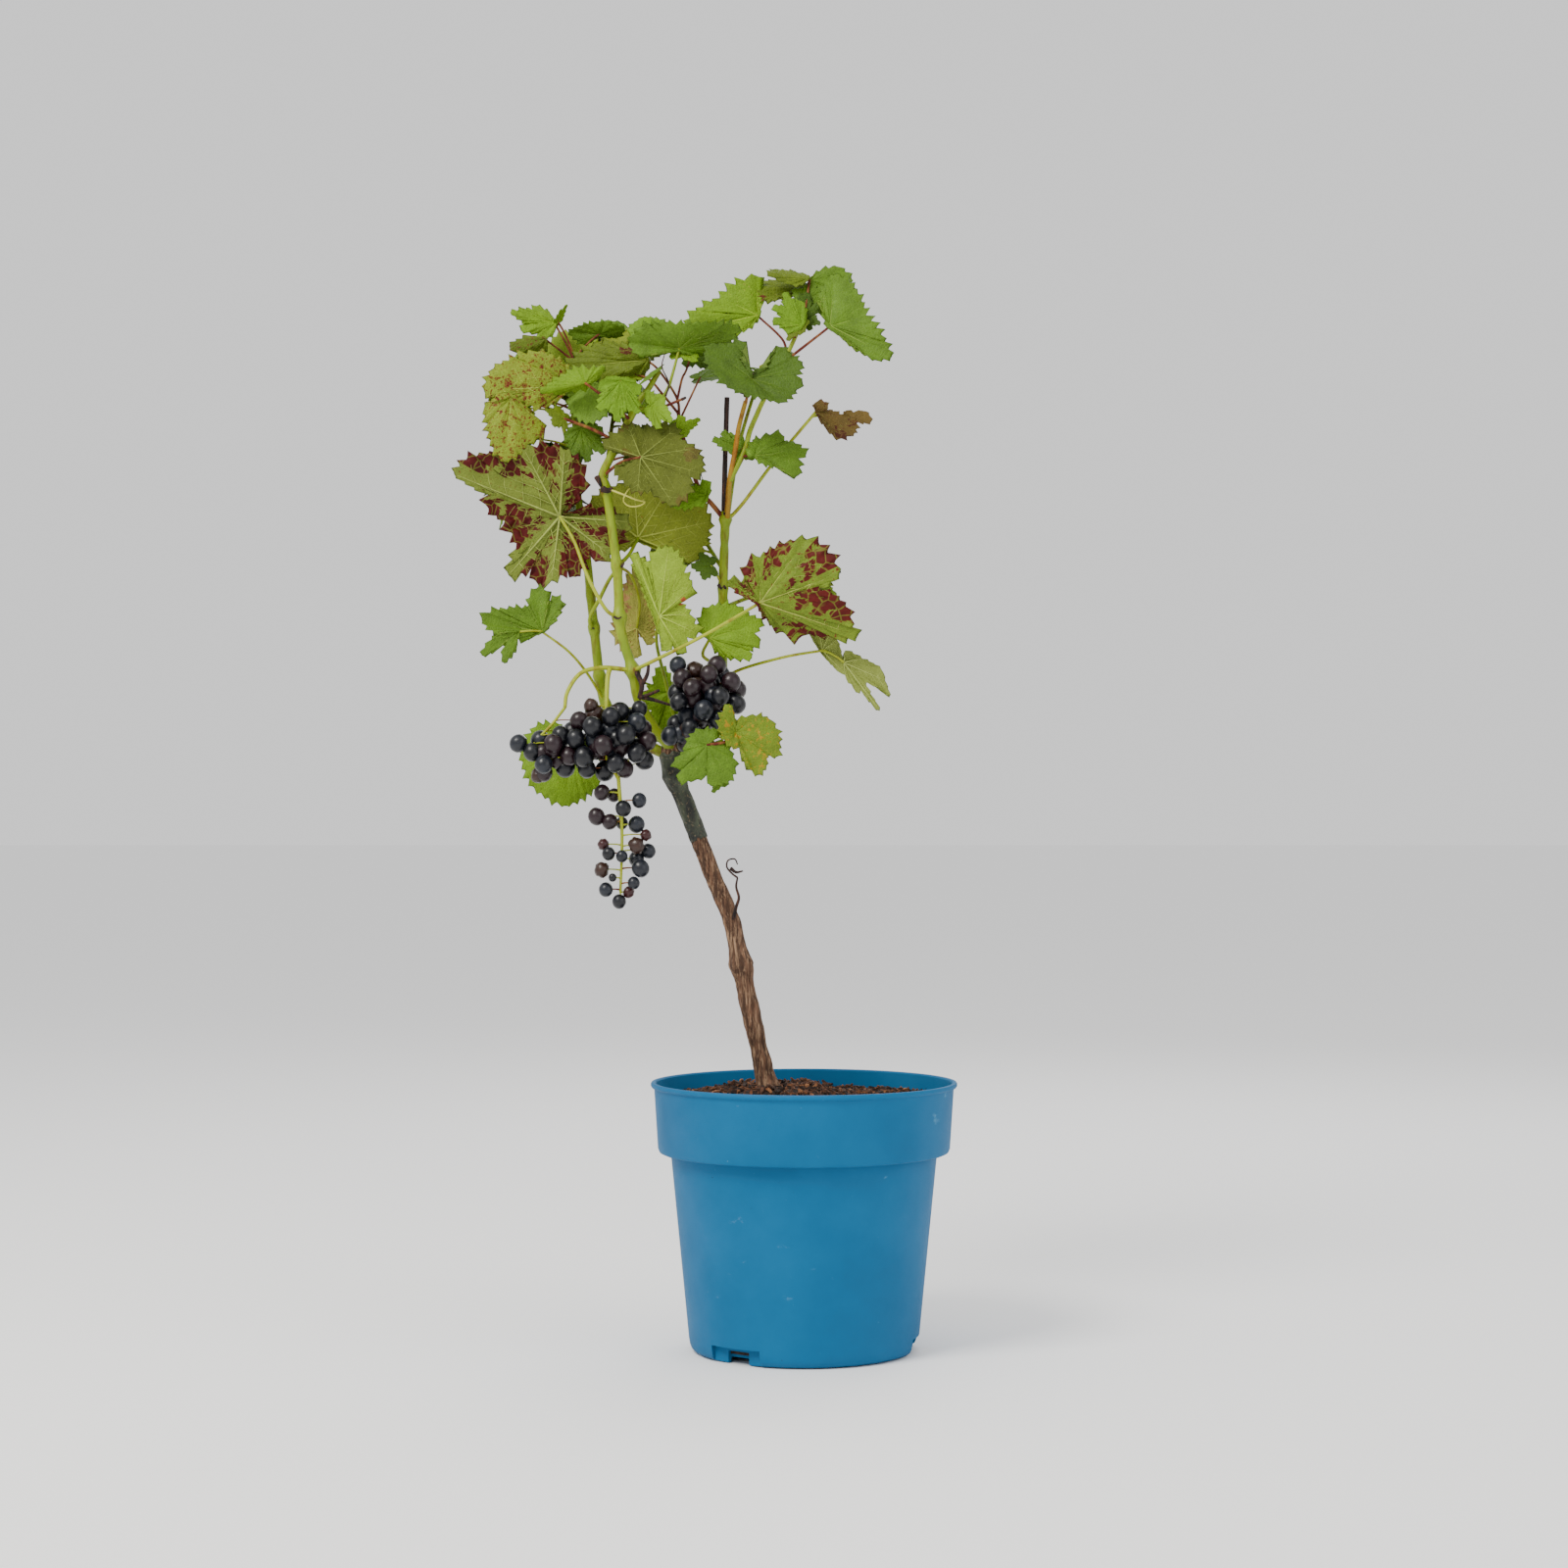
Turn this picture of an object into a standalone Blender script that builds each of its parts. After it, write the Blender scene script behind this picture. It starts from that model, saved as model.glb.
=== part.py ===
"""A young grapevine in a blue nursery pot: trunk, three canes, leaves and two bunches of grapes.

The pot stands on z = 0 with its axis on the origin, and the plant is drawn from the front, so -Y is
the viewer's side and +X is to the right. Sizes are millimetres until a point is made.
"""
import math
import random

import bmesh
import bpy
from mathutils import Matrix, Vector
from mathutils.bvhtree import BVHTree

MM = 0.001
CLEARANCE = 0.3                 # between pieces that rest on or grow out of each other
WELD = 1e-6                     # metres within which two corners of a joined piece are one

# The front drawing of the plant is made from this eye point, so a place is given as it reads
# against the plane through the pot's axis, with its depth behind that plane as the third value.
EYE = Vector((-15.0, -2157.0, 391.0))

# Pot: a moulded 5 litre container, 230 wide and 200 high
POT_STEPS = 36
POT_HEIGHT = 200.0
RIM_RADIUS = 115.0
RIM_BEAD = 3.0
COLLAR_TOP_RADIUS = 112.8
COLLAR_FOOT_RADIUS = 109.6
COLLAR_FOOT = 149.0
SHOULDER = 147.0
BODY_TOP_RADIUS = 99.9
BODY_FOOT_RADIUS = 86.3
BODY_FOOT = 9.0
WALL = 1.8
FLOOR = 2.0
FOOT_RADIUS = 79.5
CHANNEL_OUTER = 76.0
CHANNEL_INNER = 54.0
CHANNEL_HEIGHT = 4.0
NOTCH_ANGLES = (-127.0, -7.0, 113.0)
NOTCH_WIDTH = 44.0
NOTCH_HEIGHT = 12.0
NOTCH_FLOOR_RADIUS = 79.6       # the face at the back of a notch
SLOT_WIDTH = 19.0
SLOT_HEIGHT = 9.0
FOOT_INSIDE_RADIUS = 77.6       # the inside of the thick foot that the notches are cut into
FOOT_STEP = 13.6                # height at which the thick foot ends

# Compost: level near the wall, heaped round the trunk
SOIL_EDGE = 187.0
SOIL_HEAP = 10.0
HEAP_RADIUS = 70.0
SEAT_RADIUS = 24.0
SOIL_RINGS = (92.0, 72.0, 52.0, 30.0, 12.0)

# Limbs: the centre line from root to tip, the radius at both ends, and the swellings on it, each a
# height and how many times the even taper it is, with the taper regained within "spread" of it
TRUNK = dict(
    route=((-25, 185, 0), (-30, 208, 0), (-40, 252, 0), (-50, 301, 0), (-56, 325, 0), (-68, 353, 0),
           (-88, 406, 0), (-96, 426, 0), (-100, 448, 0), (-101, 462, 0)),
    root=7.4, tip=5.6, spread=13.0,
    swellings=((194, 1.35), (226, 0.82), (288, 1.4), (430, 1.6), (444, 1.55)),
)
WAX_FROM = 382.0
WAX_TO = 428.0
WAX_THICKNESS = 0.8
CANE_SIDES = 6
CANES = {
    "cane_left": dict(
        route=((-100, 444, 2), (-120, 454, 6), (-137, 466, 10), (-149, 483, 13), (-154, 505, 13),
               (-158, 541, 10), (-165, 606, 10), (-171, 645, 10), (-174, 672, 12)),
        root=4.2, tip=2.5, spread=7.0,
        swellings=((483, 1.15), (505, 1.4), (541, 1.5), (566, 1.2), (645, 1.15)),
    ),
    "cane_middle": dict(
        route=((-100, 450, -3), (-113, 466, -9), (-125, 488, -14), (-129, 509, -16), (-138, 540, -17),
               (-141, 587, -18), (-149, 645, -21), (-152, 656, -21), (-142, 677, -22), (-134, 694, -22)),
        root=4.0, tip=3.0, spread=8.0,
        swellings=((509, 1.75), (549, 1.8), (588, 1.45), (645, 1.45)),
    ),
    "cane_right": dict(
        route=((-96, 444, 1), (-83, 456, 5), (-70, 476, 8), (-62, 502, 9), (-61, 571, 5), (-59, 629, 0)),
        root=3.8, tip=3.4, spread=6.0,
        swellings=((502, 0.95), (530, 0.72), (571, 1.2), (604, 0.85), (623, 1.6)),
    ),
}
DEAD_TIP = dict(route=((-60, 622, 3), (-60, 644, 7), (-58, 715, 9)), root=1.7, tip=1.7, spread=5.0,
                swellings=((680, 1.15),))

# Masses of leaves. "on" is the limb that carries the mass, and each stem is a route of points with
# its radius at the root and at the end. A leaf is the place where its stalk meets the blade, then
# the reach of its veins from there: two reaches are the middle lobe and one side lobe of a regular
# leaf, and a longer list is every main vein of a leaf that is turned or folded, in order.
MASSES = {
    "leaves_left_crown": dict(
        on="cane_left",
        stems=(
            (2.6, 1.3, (-174, 668, 12), (-172, 686, 13), (-174, 708, 15), (-171, 735, 20), (-173, 742, 24)),
        ),
        leaves=(
            ((-188, 771, 20), (-10, -13, -8), (-24, -6, -10), (-32, 7, -12), (-14, 14, 2), (-1, 7, 8)),
            ((-186, 773, 22), (8, 12, -3), (4, 3, 4)),
            ((-195, 759, 12), (-5, -13, 2), (-21, -11, -6), (-26, -6, -8), (-17, 0, -4), (-7, 3, 4)),
            ((-173, 739, 34), (-18, -7, 2), (-22, 15, 6), (-10, 28, 8), (4, 24, 8), (22, 18, 6), (16, 4, 2)),
            ((-175, 724, -6), (-23, -18, -5), (-65, -7, -18), (-58, 11, -12), (-26, 25, -4), (-7, 16, 2)),
            ((-221, 715, -22), (27, -24, 4), (7, -44, 0), (-8, -49, -4), (-18, -27, -6), (-19, -13, -6)),
            ((-159, 726, -8), (-12, -27, -6), (-18, -11, 2)),
            ((-154, 763, 24), (-14, -7, 6), (-24, 2, 4), (-13, 6, -4), (5, 8, -6), (19, 4, -2), (14, -2, 4)),
            ((-171, 680, 3), (11, -15, -6), (-9, -7, -2)),
        ),
    ),
    "leaves_middle_crown": dict(
        on="cane_middle",
        stems=(
            (3.0, 1.9, (-135, 692, -22), (-124, 712, -22), (-117, 722, -21), (-109, 735, -20)),
            (1.5, 1.0, (-127, 706, -22), (-112, 709, -22), (-103, 721, -22), (-99, 733, -21),
             (-94, 752, -20)),
            (1.4, 1.1, (-141, 679, -23), (-148, 685, -29), (-162, 692, -33), (-181, 699, -34)),
            (1.3, 1.0, (-132, 699, -24), (-149, 714, -28), (-165, 726, -29)),
        ),
        leaves=(
            ((-165, 726, -29), (15, 13, 5), (-5, 12, 6), (-34, -8, -4), (-23, -6, 12), (2, -1, 14)),
            ((-138, 728, -36), (16, -9, 4), (20, -21, 2), (9, -29, -2), (-4, -33, -6), (-15, -25, -6),
             (-19, -13, -4), (-13, -3, 0)),
            ((-181, 699, -34), (-13, 7, -6), (-5, 12, 6)),
            ((-115, 709, -30), (16, -13, -6), (6, -19, -4)),
            ((-110, 735, -20), (-15, -13, -8), (-7, -3, 4)),
            ((-112, 760, 6), (-17, -1, 0), (-20, 10, 4), (-10, 18, 8), (3, 17, 10), (16, 11, 8), (16, 1, 4)),
            ((-94, 752, -20), (-32, -5, -4), (-38, 4, -2), (-28, 14, -10), (-2, 15, -14), (23, 16, -14),
             (46, 15, -2), (35, 1, 2), (14, -4, 2)),
            ((-90, 754, -13), (8, -14, -8), (-11, -10, -6)),
        ),
    ),
    "leaves_centre": dict(
        on="cane_right",
        stems=(
            (2.0, 1.4, (-60, 623, 0), (-69, 634, -1), (-79, 646, -3), (-87, 670, -4), (-91, 685, -6),
             (-95, 704, -8)),
            (1.1, 0.8, (-94, 702, -8), (-107, 718, -6), (-117, 729, -2), (-129, 733, 2)),
            (1.1, 0.8, (-94, 701, -7), (-96, 715, -8), (-109, 735, -5), (-118, 743, -4)),
            (1.0, 0.8, (-96, 711, -9), (-92, 729, -8), (-89, 735, -4), (-84, 750, 5)),
            (0.9, 0.7, (-94, 697, -8), (-78, 731, -12)),
        ),
        leaves=(
            ((-118, 743, -4), (-13, -13, 4), (-40, -15, 2), (-62, -4, 4), (-44, 11, 2), (-15, 10, -2)),
            ((-129, 733, 2), (12, 6, 4), (8, -4, -2)),
            ((-78, 731, -12), (20, 4, -4), (11, 1, 22)),
            ((-84, 750, 5), (28, 4, 4), (15, -15, -4)),
            ((-98, 688, -12), (20, 10, -6), (11, -2, 4)),
            ((-73, 641, -10), (-7, -8, -2), (-24, -10, -4), (-30, -4, -2), (-16, 7, 4), (-1, 12, 0)),
        ),
    ),
    "leaves_middle_front": dict(
        on="cane_middle",
        stems=((1.3, 1.1, (-151, 656, -21), (-138, 666, -30), (-123, 670, -36)),),
        leaves=(
            ((-123, 670, -36), (-18, 14, 4), (-10, 24, 8), (8, 29, 12), (30, 22, 10), (49, -4, -4),
             (37, -18, -8), (25, -38, -12), (8, -31, -10), (-12, -16, -6), (-27, 3, 2)),
        ),
    ),
    "leaves_middle_back": dict(
        on="cane_middle",
        stems=(
            (1.7, 1.2, (-140, 588, -18), (-132, 596, -8), (-125, 609, 8)),
            (1.2, 1.0, (-140, 588, -18), (-130, 580, -2), (-124, 560, 4), (-126, 541, 6)),
        ),
        leaves=(
            ((-125, 609, 8), (-13, -9, 4), (-36, 29, 6), (-4, 45, 8), (29, 49, 10), (55, 13, 6),
             (42, -18, 0)),
            ((-126, 541, 6), (1, -23, 0), (-17, -7, 4), (-8, 35, 6), (1, 46, 6), (13, 29, 4), (11, -13, 0)),
        ),
    ),
    "leaf_red_left": dict(
        on="cane_middle",
        stems=((1.5, 1.2, (-141, 549, -18), (-150, 556, -25), (-163, 580, -22), (-173, 606, -14),
                (-184, 625, -8)),),
        leaves=(
            ((-184, 625, -8), (25, 7, 0), (49, -3, 2), (42, -26, 0), (13, -48, -2), (-18, -42, -4),
             (-38, -45, -6), (-55, 9, -8), (-79, 34, -14), (-52, 48, -10), (-7, 54, -8), (15, 47, -6),
             (20, 29, -2)),
        ),
    ),
    "leaves_centre_low": dict(
        on="trunk",
        stems=(
            (1.6, 1.1, (-99, 450, 4), (-98, 472, 12), (-104, 500, 6), (-111, 530, -16), (-109, 550, -27)),
        ),
        leaves=(
            ((-109, 550, -27), (-9, -32, -2), (-17, -9, -2), (-10, 16, 2), (-17, 41, 4), (7, 53, 2),
             (22, 31, 2), (28, -9, 4), (14, -30, 2)),
            ((-101, 493, 16), (-11, -51, 2), (-21, -10, 2)),
        ),
    ),
    "leaf_right_middle": dict(
        on="cane_right",
        stems=((1.4, 1.1, (-62, 512, 9), (-76, 520, -2), (-71, 533, -14)),),
        leaves=(
            ((-71, 533, -14), (-8, 18, 4), (8, 26, 2), (40, 14, 0), (38, -4, -4), (35, -15, -6),
             (8, -15, -4)),
        ),
    ),
    "leaf_small_dark": dict(
        on="cane_right",
        stems=((1.0, 0.8, (-61, 571, 5), (-66, 582, -1), (-70, 588, -2)),),
        leaves=(((-70, 588, -2), (-15, 0, -2), (-8, 11, 4)),),
    ),
    "leaf_red_right": dict(
        on="cane_middle",
        stems=((1.6, 1.2, (-129, 509, -16), (-120, 513, -27), (-78, 534, -42), (-33, 560, -50)),),
        leaves=(
            ((-33, 560, -50), (-22, 14, 6), (-10, 26, 4), (33, 47, 0), (60, 21, 0), (73, -23, 8),
             (52, -26, 14), (18, -21, 16)),
        ),
    ),
    "leaf_hanging_right": dict(
        on="cane_right",
        stems=((1.3, 1.0, (-62, 502, 9), (-47, 510, 0), (-15, 519, -14), (14, 524, -24)),),
        leaves=(
            ((14, 524, -24), (-12, 16, 4), (-4, 31, 4), (8, 19, 2), (20, -4, 0), (52, -35, -8),
             (41, -45, -10), (14, -20, -4)),
        ),
    ),
    "leaf_dry_right": dict(
        on="cane_right",
        stems=((1.5, 1.2, (-58, 622, 1), (-46, 635, 4), (-22, 667, 2), (9, 704, -10)),),
        leaves=(((9, 704, -10), (-1, 7, 4), (8, 5, 2), (37, 3, 8), (43, -5, 4), (18, -21, -6)),),
    ),
    "leaf_left_side": dict(
        on="cane_left",
        stems=((1.2, 0.9, (-149, 483, 13), (-162, 505, 2), (-177, 523, -14), (-197, 538, -24)),),
        leaves=(
            ((-197, 538, -24), (-29, -25, -18), (-41, -13, -14), (-46, 8, -10), (-26, 17, -4), (-4, 34, 4),
             (12, 27, 6)),
        ),
    ),
    "leaf_left_low": dict(
        on="cane_left",
        stems=((1.4, 1.1, (-149, 483, 13), (-162, 472, 14), (-175, 453, 6)),),
        leaves=(
            ((-175, 453, 6), (21, -29, 2), (-4, -46, -4), (-28, -32, -4), (-38, -6, -2), (-27, 14, 2),
             (-10, 16, 4)),
        ),
    ),
    "leaves_right_low": dict(
        on="cane_right",
        stems=(
            (1.7, 1.3, (-74, 470, 6), (-59, 459, -4), (-44, 456, -26), (-51, 462, -58)),
            (1.2, 1.0, (-50, 461, -53), (-60, 455, -64), (-73, 453, -66)),
        ),
        leaves=(
            ((-73, 453, -66), (20, -15, 2), (8, -32, -4), (-21, -28, -10), (-24, -12, -6), (-18, 1, -2),
             (9, 12, 4)),
            ((-51, 462, -58), (-7, 23, 2), (14, 15, 4), (33, -7, 0), (17, -32, -6), (9, -27, -8),
             (-10, -7, -8)),
            ((-62, 429, -46), (-7, -12, -2), (-10, -4, 2)),
        ),
    ),
    "leaves_right_crown": dict(
        on="cane_right",
        stems=(
            (2.2, 1.7, (-58, 624, -2.5), (-56, 652, -9), (-52, 674, -12), (-49, 693, -16), (-44, 712, -24)),
            (2.2, 1.6, (-56, 652, -9), (-45, 674, -10), (-41, 689, -9), (-36, 701, -8), (-31, 712, -7),
             (-20, 733, -7), (-11, 751, -8), (-2, 771, -9)),
            (1.2, 0.9, (-16, 741, -7), (20, 769, -18)),
            (1.1, 0.8, (-16, 741, -7), (-15, 757, -5), (-35, 777, 4)),
            (1.2, 1.0, (-44, 710, -23), (-42, 720, -34), (-39, 729, -48)),
            (1.3, 0.9, (-2, 771, -9), (2, 788, 0), (4, 803, 6)),
        ),
        leaves=(
            ((-37, 671, -18), (-7, -4, -4), (1, 15, 6), (21, 18, 4), (38, 4, 0), (32, -13, -6), (6, -6, -8)),
            ((-47, 676, -6), (-22, 8, 2), (-15, 14, 6)),
            ((-35, 777, 4), (-7, -11, -6), (-26, -15, -10), (-55, -15, -14), (-51, -4, -12), (-28, 13, -6),
             (-10, 27, 2), (-1, 31, 6), (2, 17, 6)),
            ((-39, 729, -48), (15, 20, 6), (29, 21, 8), (38, 6, 2), (32, -12, -6), (18, -20, -12),
             (-2, -16, -14), (-21, -4, -10), (-38, 18, 2), (-23, 27, 8), (-10, 28, 10), (-4, 16, 4)),
            ((20, 769, -18), (-5, 10, 4), (-7, 27, 8), (3, 41, 10), (15, 35, 8), (27, 7, 2), (46, -25, -8),
             (34, -27, -6)),
            ((5, 804, 8), (8, 7, 6), (21, 11, 6), (31, 2, 4), (29, -7, 2), (17, -9, 0), (6, -16, -2)),
            ((3, 805, 4), (-13, -7, -4), (-25, -2, -6), (-31, 3, -6), (-22, 6, 4), (-8, 4, 8)),
            ((3, 799, 16), (-5, -7, -4), (-22, -12, -6), (-38, -13, -8), (-43, -4, -8), (-37, 2, 2),
             (-19, 3, 6)),
            ((-2, 770, -12), (-11, -2, -2), (-21, 1, -4), (-21, 12, -2), (-13, 24, 2), (-4, 20, 4)),
            ((-2, 771, -4), (-3, 20, 2), (6, 24, 4), (15, 16, 2), (12, 5, 0)),
            ((0, 774, -2), (13, -4, -4), (5, -9, -4)),
            ((-3, 771, -10), (-10, -14, -6), (-11, -5, -2)),
        ),
    ),
}

# The far side of the crown: each shoot runs back from its limb into its own room, given by its
# centre and its half width, height and depth, and its leaves are set along it by a seeded rule
BACK_MASSES = {
    "leaves_back_left": ("cane_left", (-173, 650, 11), (-192, 722, 76), (52, 44, 46), 6),
    "leaves_back_middle": ("cane_middle", (-150, 645, -21), (-136, 738, 70), (54, 48, 50), 5),
    "leaves_back_centre": ("cane_right", (-61, 585, 4), (-112, 640, 66), (46, 46, 46), 5),
    "leaves_back_right": ("cane_right", (-60, 606, 2), (-33, 735, 66), (46, 44, 46), 5),
    "leaves_back_red": ("cane_left", (-166, 612, 10), (-196, 626, 60), (46, 42, 44), 5),
    "leaves_back_side": ("cane_right", (-61, 556, 6), (-8, 571, 56), (44, 36, 44), 4),
    "leaves_back_low": ("trunk", (-98, 434, 4), (-120, 474, 64), (56, 40, 44), 5),
}
BACK_LEAF = (24.0, 38.0)        # reach of the middle lobe, least and most
TURN = 137.5                    # degrees from one leaf to the next round a shoot

# Blades
SIDE_VEINS = ((-118, 0.58), (-58, 0.86), (0, 1.0), (58, 0.86), (118, 0.58))
SINUS = 0.8                     # how far out the cut between two lobes lies
SINUS_FROM = math.radians(34)   # the least angle between two veins that a cut parts
NOTCH_REACH = 0.12              # how far behind the stalk the blade goes on
BLADE_THICKNESS = 0.024         # of the blade's reach, at the stalk
THINNEST = 1.1
STALK_RADIUS = 1.0

# Bunches of grapes
BERRY_SIDES = 6
BERRY_RINGS = 4
CORE_DEPTH = 0.35               # how far the core lies inside the berries' centres, in radii
BUNCHES = {
    "grapes_left": dict(
        on="cane_middle",
        stems=(
            (1.9, 1.4, (-129, 509, -17), (-151, 511, -26), (-168, 507, -34), (-178, 493, -40),
             (-180, 481, -42)),
            (1.2, 0.8, (-180, 481, -42), (-190, 468, -42), (-204, 452, -42), (-201, 438, -42)),
            (1.9, 1.5, (-146, 511, -24), (-148, 501, -32), (-149, 471, -42), (-150, 449, -43),
             (-140, 428, -43)),
            (1.5, 1.0, (-140, 432, -43), (-138, 408, -43), (-137, 390, -43), (-137, 372, -43),
             (-138, 342, -43)),
        ),
        clusters=(
            ((-147, 455, -43), (31, 24, 18), 28, 7.2),
            ((-190, 446, -43), (16, 15, 12), 10, 7.0),
        ),
        loose=((-215, 454, -42, 6.6), (-200, 430, -40, 5.5), (-160, 482, -40, 5.8), (-124, 480, -40, 6.0),
               (-141, 477, -44, 6.4), (-152, 417, -44, 5.9), (-143, 415, -36, 5.0), (-124, 411, -46, 5.5),
               (-136, 405, -50, 5.9), (-156, 399, -44, 6.4), (-146, 395, -46, 5.8), (-137, 394, -36, 4.6),
               (-126, 393, -42, 6.2), (-119, 385, -44, 4.2), (-126, 377, -47, 5.9), (-117, 373, -38, 5.4),
               (-151, 378, -43, 4.2), (-147, 371, -48, 4.9), (-137, 369, -49, 4.4), (-126, 367, -36, 5.8),
               (-123, 360, -46, 6.6), (-152, 359, -42, 5.5), (-144, 353, -48, 3.0), (-128, 349, -46, 4.6),
               (-132, 342, -40, 4.2), (-149, 344, -44, 5.3), (-139, 335, -43, 5.2)),
    ),
    "grapes_right": dict(
        on="cane_right",
        stems=(
            (1.8, 1.3, (-62, 505, 9), (-72, 506, -4), (-78, 494, -20), (-80, 470, -26), (-82, 452, -28)),
        ),
        clusters=(
            ((-73, 491, -31), (24, 22, 17), 20, 7.2),
            ((-87, 463, -30), (15, 11, 11), 7, 7.0),
        ),
        loose=((-95, 513, -30, 6.4),),
    ),
}

PAINTS = {
    "pot": ((0.028, 0.205, 0.418), 0.5),
    "soil": ((0.06, 0.028, 0.015), 0.95),
    "trunk": ((0.17, 0.095, 0.055), 0.9),
    "graft_wax": ((0.06, 0.085, 0.055), 0.6),
    "cane": ((0.19, 0.28, 0.045), 0.6),
    "dead_tip": ((0.035, 0.012, 0.012), 0.85),
    "leaves": ((0.16, 0.29, 0.035), 0.6),
    "leaf_red": ((0.24, 0.12, 0.05), 0.65),
    "leaf_dry": ((0.16, 0.08, 0.035), 0.8),
    "grapes": ((0.018, 0.018, 0.028), 0.45),
}


def drawn(x, z, y):
    """The point, in metres, that reads as (x, z) on the front drawing and lies y behind it."""
    spread = 1.0 + y / -EYE.y
    return Vector((EYE.x + (x - EYE.x) * spread, y, EYE.z + (z - EYE.z) * spread)) * MM


def paint(kind):
    """The material of one kind of piece, made once."""
    if kind in bpy.data.materials:
        return bpy.data.materials[kind]
    colour, roughness = PAINTS[kind]
    material = bpy.data.materials.new(kind)
    material.use_nodes = True
    shader = material.node_tree.nodes["Principled BSDF"]
    shader.inputs["Base Color"].default_value = (*colour, 1.0)
    shader.inputs["Roughness"].default_value = roughness
    shader.inputs["Metallic"].default_value = 0.0
    material.diffuse_color = (*colour, 1.0)
    return material


def new_collection(name):
    collection = bpy.data.collections.new(name)
    bpy.context.scene.collection.children.link(collection)
    return collection


def put(name, mesh, kind=None):
    """An object of this mesh: a piece of the plant if it has a kind, and otherwise a helper."""
    thing = bpy.data.objects.new(name, mesh)
    if kind is None:
        HELPERS.objects.link(thing)
    else:
        PLANT.objects.link(thing)
        mesh.materials.clear()
        mesh.materials.append(paint(kind))
    return thing


def from_bmesh(name, bm, kind=None):
    mesh = bpy.data.meshes.new(name)
    bm.to_mesh(mesh)
    bm.free()
    return put(name, mesh, kind)


def discard(thing):
    mesh = thing.data
    bpy.data.objects.remove(thing)
    if mesh.users == 0:
        bpy.data.meshes.remove(mesh)


def baked(thing):
    """The thing's mesh with its modifiers or its curve bevel carried out."""
    graph = bpy.context.evaluated_depsgraph_get()
    return bpy.data.meshes.new_from_object(thing.evaluated_get(graph), depsgraph=graph)


def islands(bm):
    """The separate shells of a mesh, each as a list of faces."""
    left = set(bm.faces)
    shells = []
    while left:
        front = [left.pop()]
        shell = []
        while front:
            face = front.pop()
            shell.append(face)
            for edge in face.edges:
                for other in edge.link_faces:
                    if other in left:
                        left.remove(other)
                        front.append(other)
        shells.append(shell)
    return shells


def shell_volume(shell):
    total = 0.0
    for face in shell:
        corners = [vert.co for vert in face.verts]
        for i in range(1, len(corners) - 1):
            total += corners[0].dot(corners[i].cross(corners[i + 1])) / 6.0
    return total


def one_body(mesh, weld):
    """Keeps the largest shell of a joined piece, which drops scraps and fills sealed hollows."""
    bm = bmesh.new()
    bm.from_mesh(mesh)
    bmesh.ops.remove_doubles(bm, verts=bm.verts, dist=weld)
    bmesh.ops.dissolve_degenerate(bm, edges=bm.edges, dist=weld)
    bmesh.ops.triangulate(bm, faces=bm.faces)
    shells = sorted(islands(bm), key=shell_volume, reverse=True)
    for shell in shells[1:]:
        bmesh.ops.delete(bm, geom=shell, context="FACES")
    bmesh.ops.delete(bm, geom=[edge for edge in bm.edges if edge.is_wire], context="EDGES")
    bm.to_mesh(mesh)
    bm.free()
    return mesh


def is_closed(mesh):
    bm = bmesh.new()
    bm.from_mesh(mesh)
    closed = len(bm.faces) > 0 and all(edge.is_manifold for edge in bm.edges)
    bm.free()
    return closed


def combine(name, operation, first, others, kind=None):
    """One Boolean of the first helper with all the others, carried out, with the helpers removed."""
    heap = bpy.data.collections.new(name + "_heap")
    bpy.context.scene.collection.children.link(heap)
    for thing in others:
        HELPERS.objects.unlink(thing)
        heap.objects.link(thing)
    change = first.modifiers.new(operation.lower(), "BOOLEAN")
    change.operation = operation
    change.operand_type = "COLLECTION"
    change.collection = heap
    for solver, weld in (("EXACT", WELD), ("MANIFOLD", WELD), ("EXACT", WELD / 5), ("MANIFOLD", WELD / 5)):
        change.solver = solver
        mesh = one_body(baked(first), weld)
        if is_closed(mesh):
            break
    for thing in [first, *others]:
        discard(thing)
    bpy.data.collections.remove(heap)
    return put(name, mesh, kind)


def rings(limb):
    """A limb's centre line from root to tip as (x, z, y, radius), with a point at each swelling."""
    route, spread = limb["route"], limb["spread"]
    foot, top = route[0][1], route[-1][1]
    swollen = [level + shift for level, _ in limb["swellings"] for shift in (-spread, 0, spread)]
    levels = [z for _, z, _ in route if all(abs(z - level) > spread / 3 for level in swollen)]
    line = []
    for level in sorted(set(levels + swollen + [foot, top])):
        if not foot <= level <= top:
            continue
        low, high = next(pair for pair in zip(route, route[1:]) if level <= pair[1][1])
        t = (level - low[1]) / (high[1] - low[1])
        even = limb["root"] + (limb["tip"] - limb["root"]) * (level - foot) / (top - foot)
        times = 1.0
        for height, much in limb["swellings"]:
            near = max(0.0, 1 - abs(level - height) / spread)
            times += (much - 1) * near
        if line and level - line[-1][1] < 1.5:
            continue
        line.append((low[0] + (high[0] - low[0]) * t, level, low[2] + (high[2] - low[2]) * t, even * times))
    return line


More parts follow.
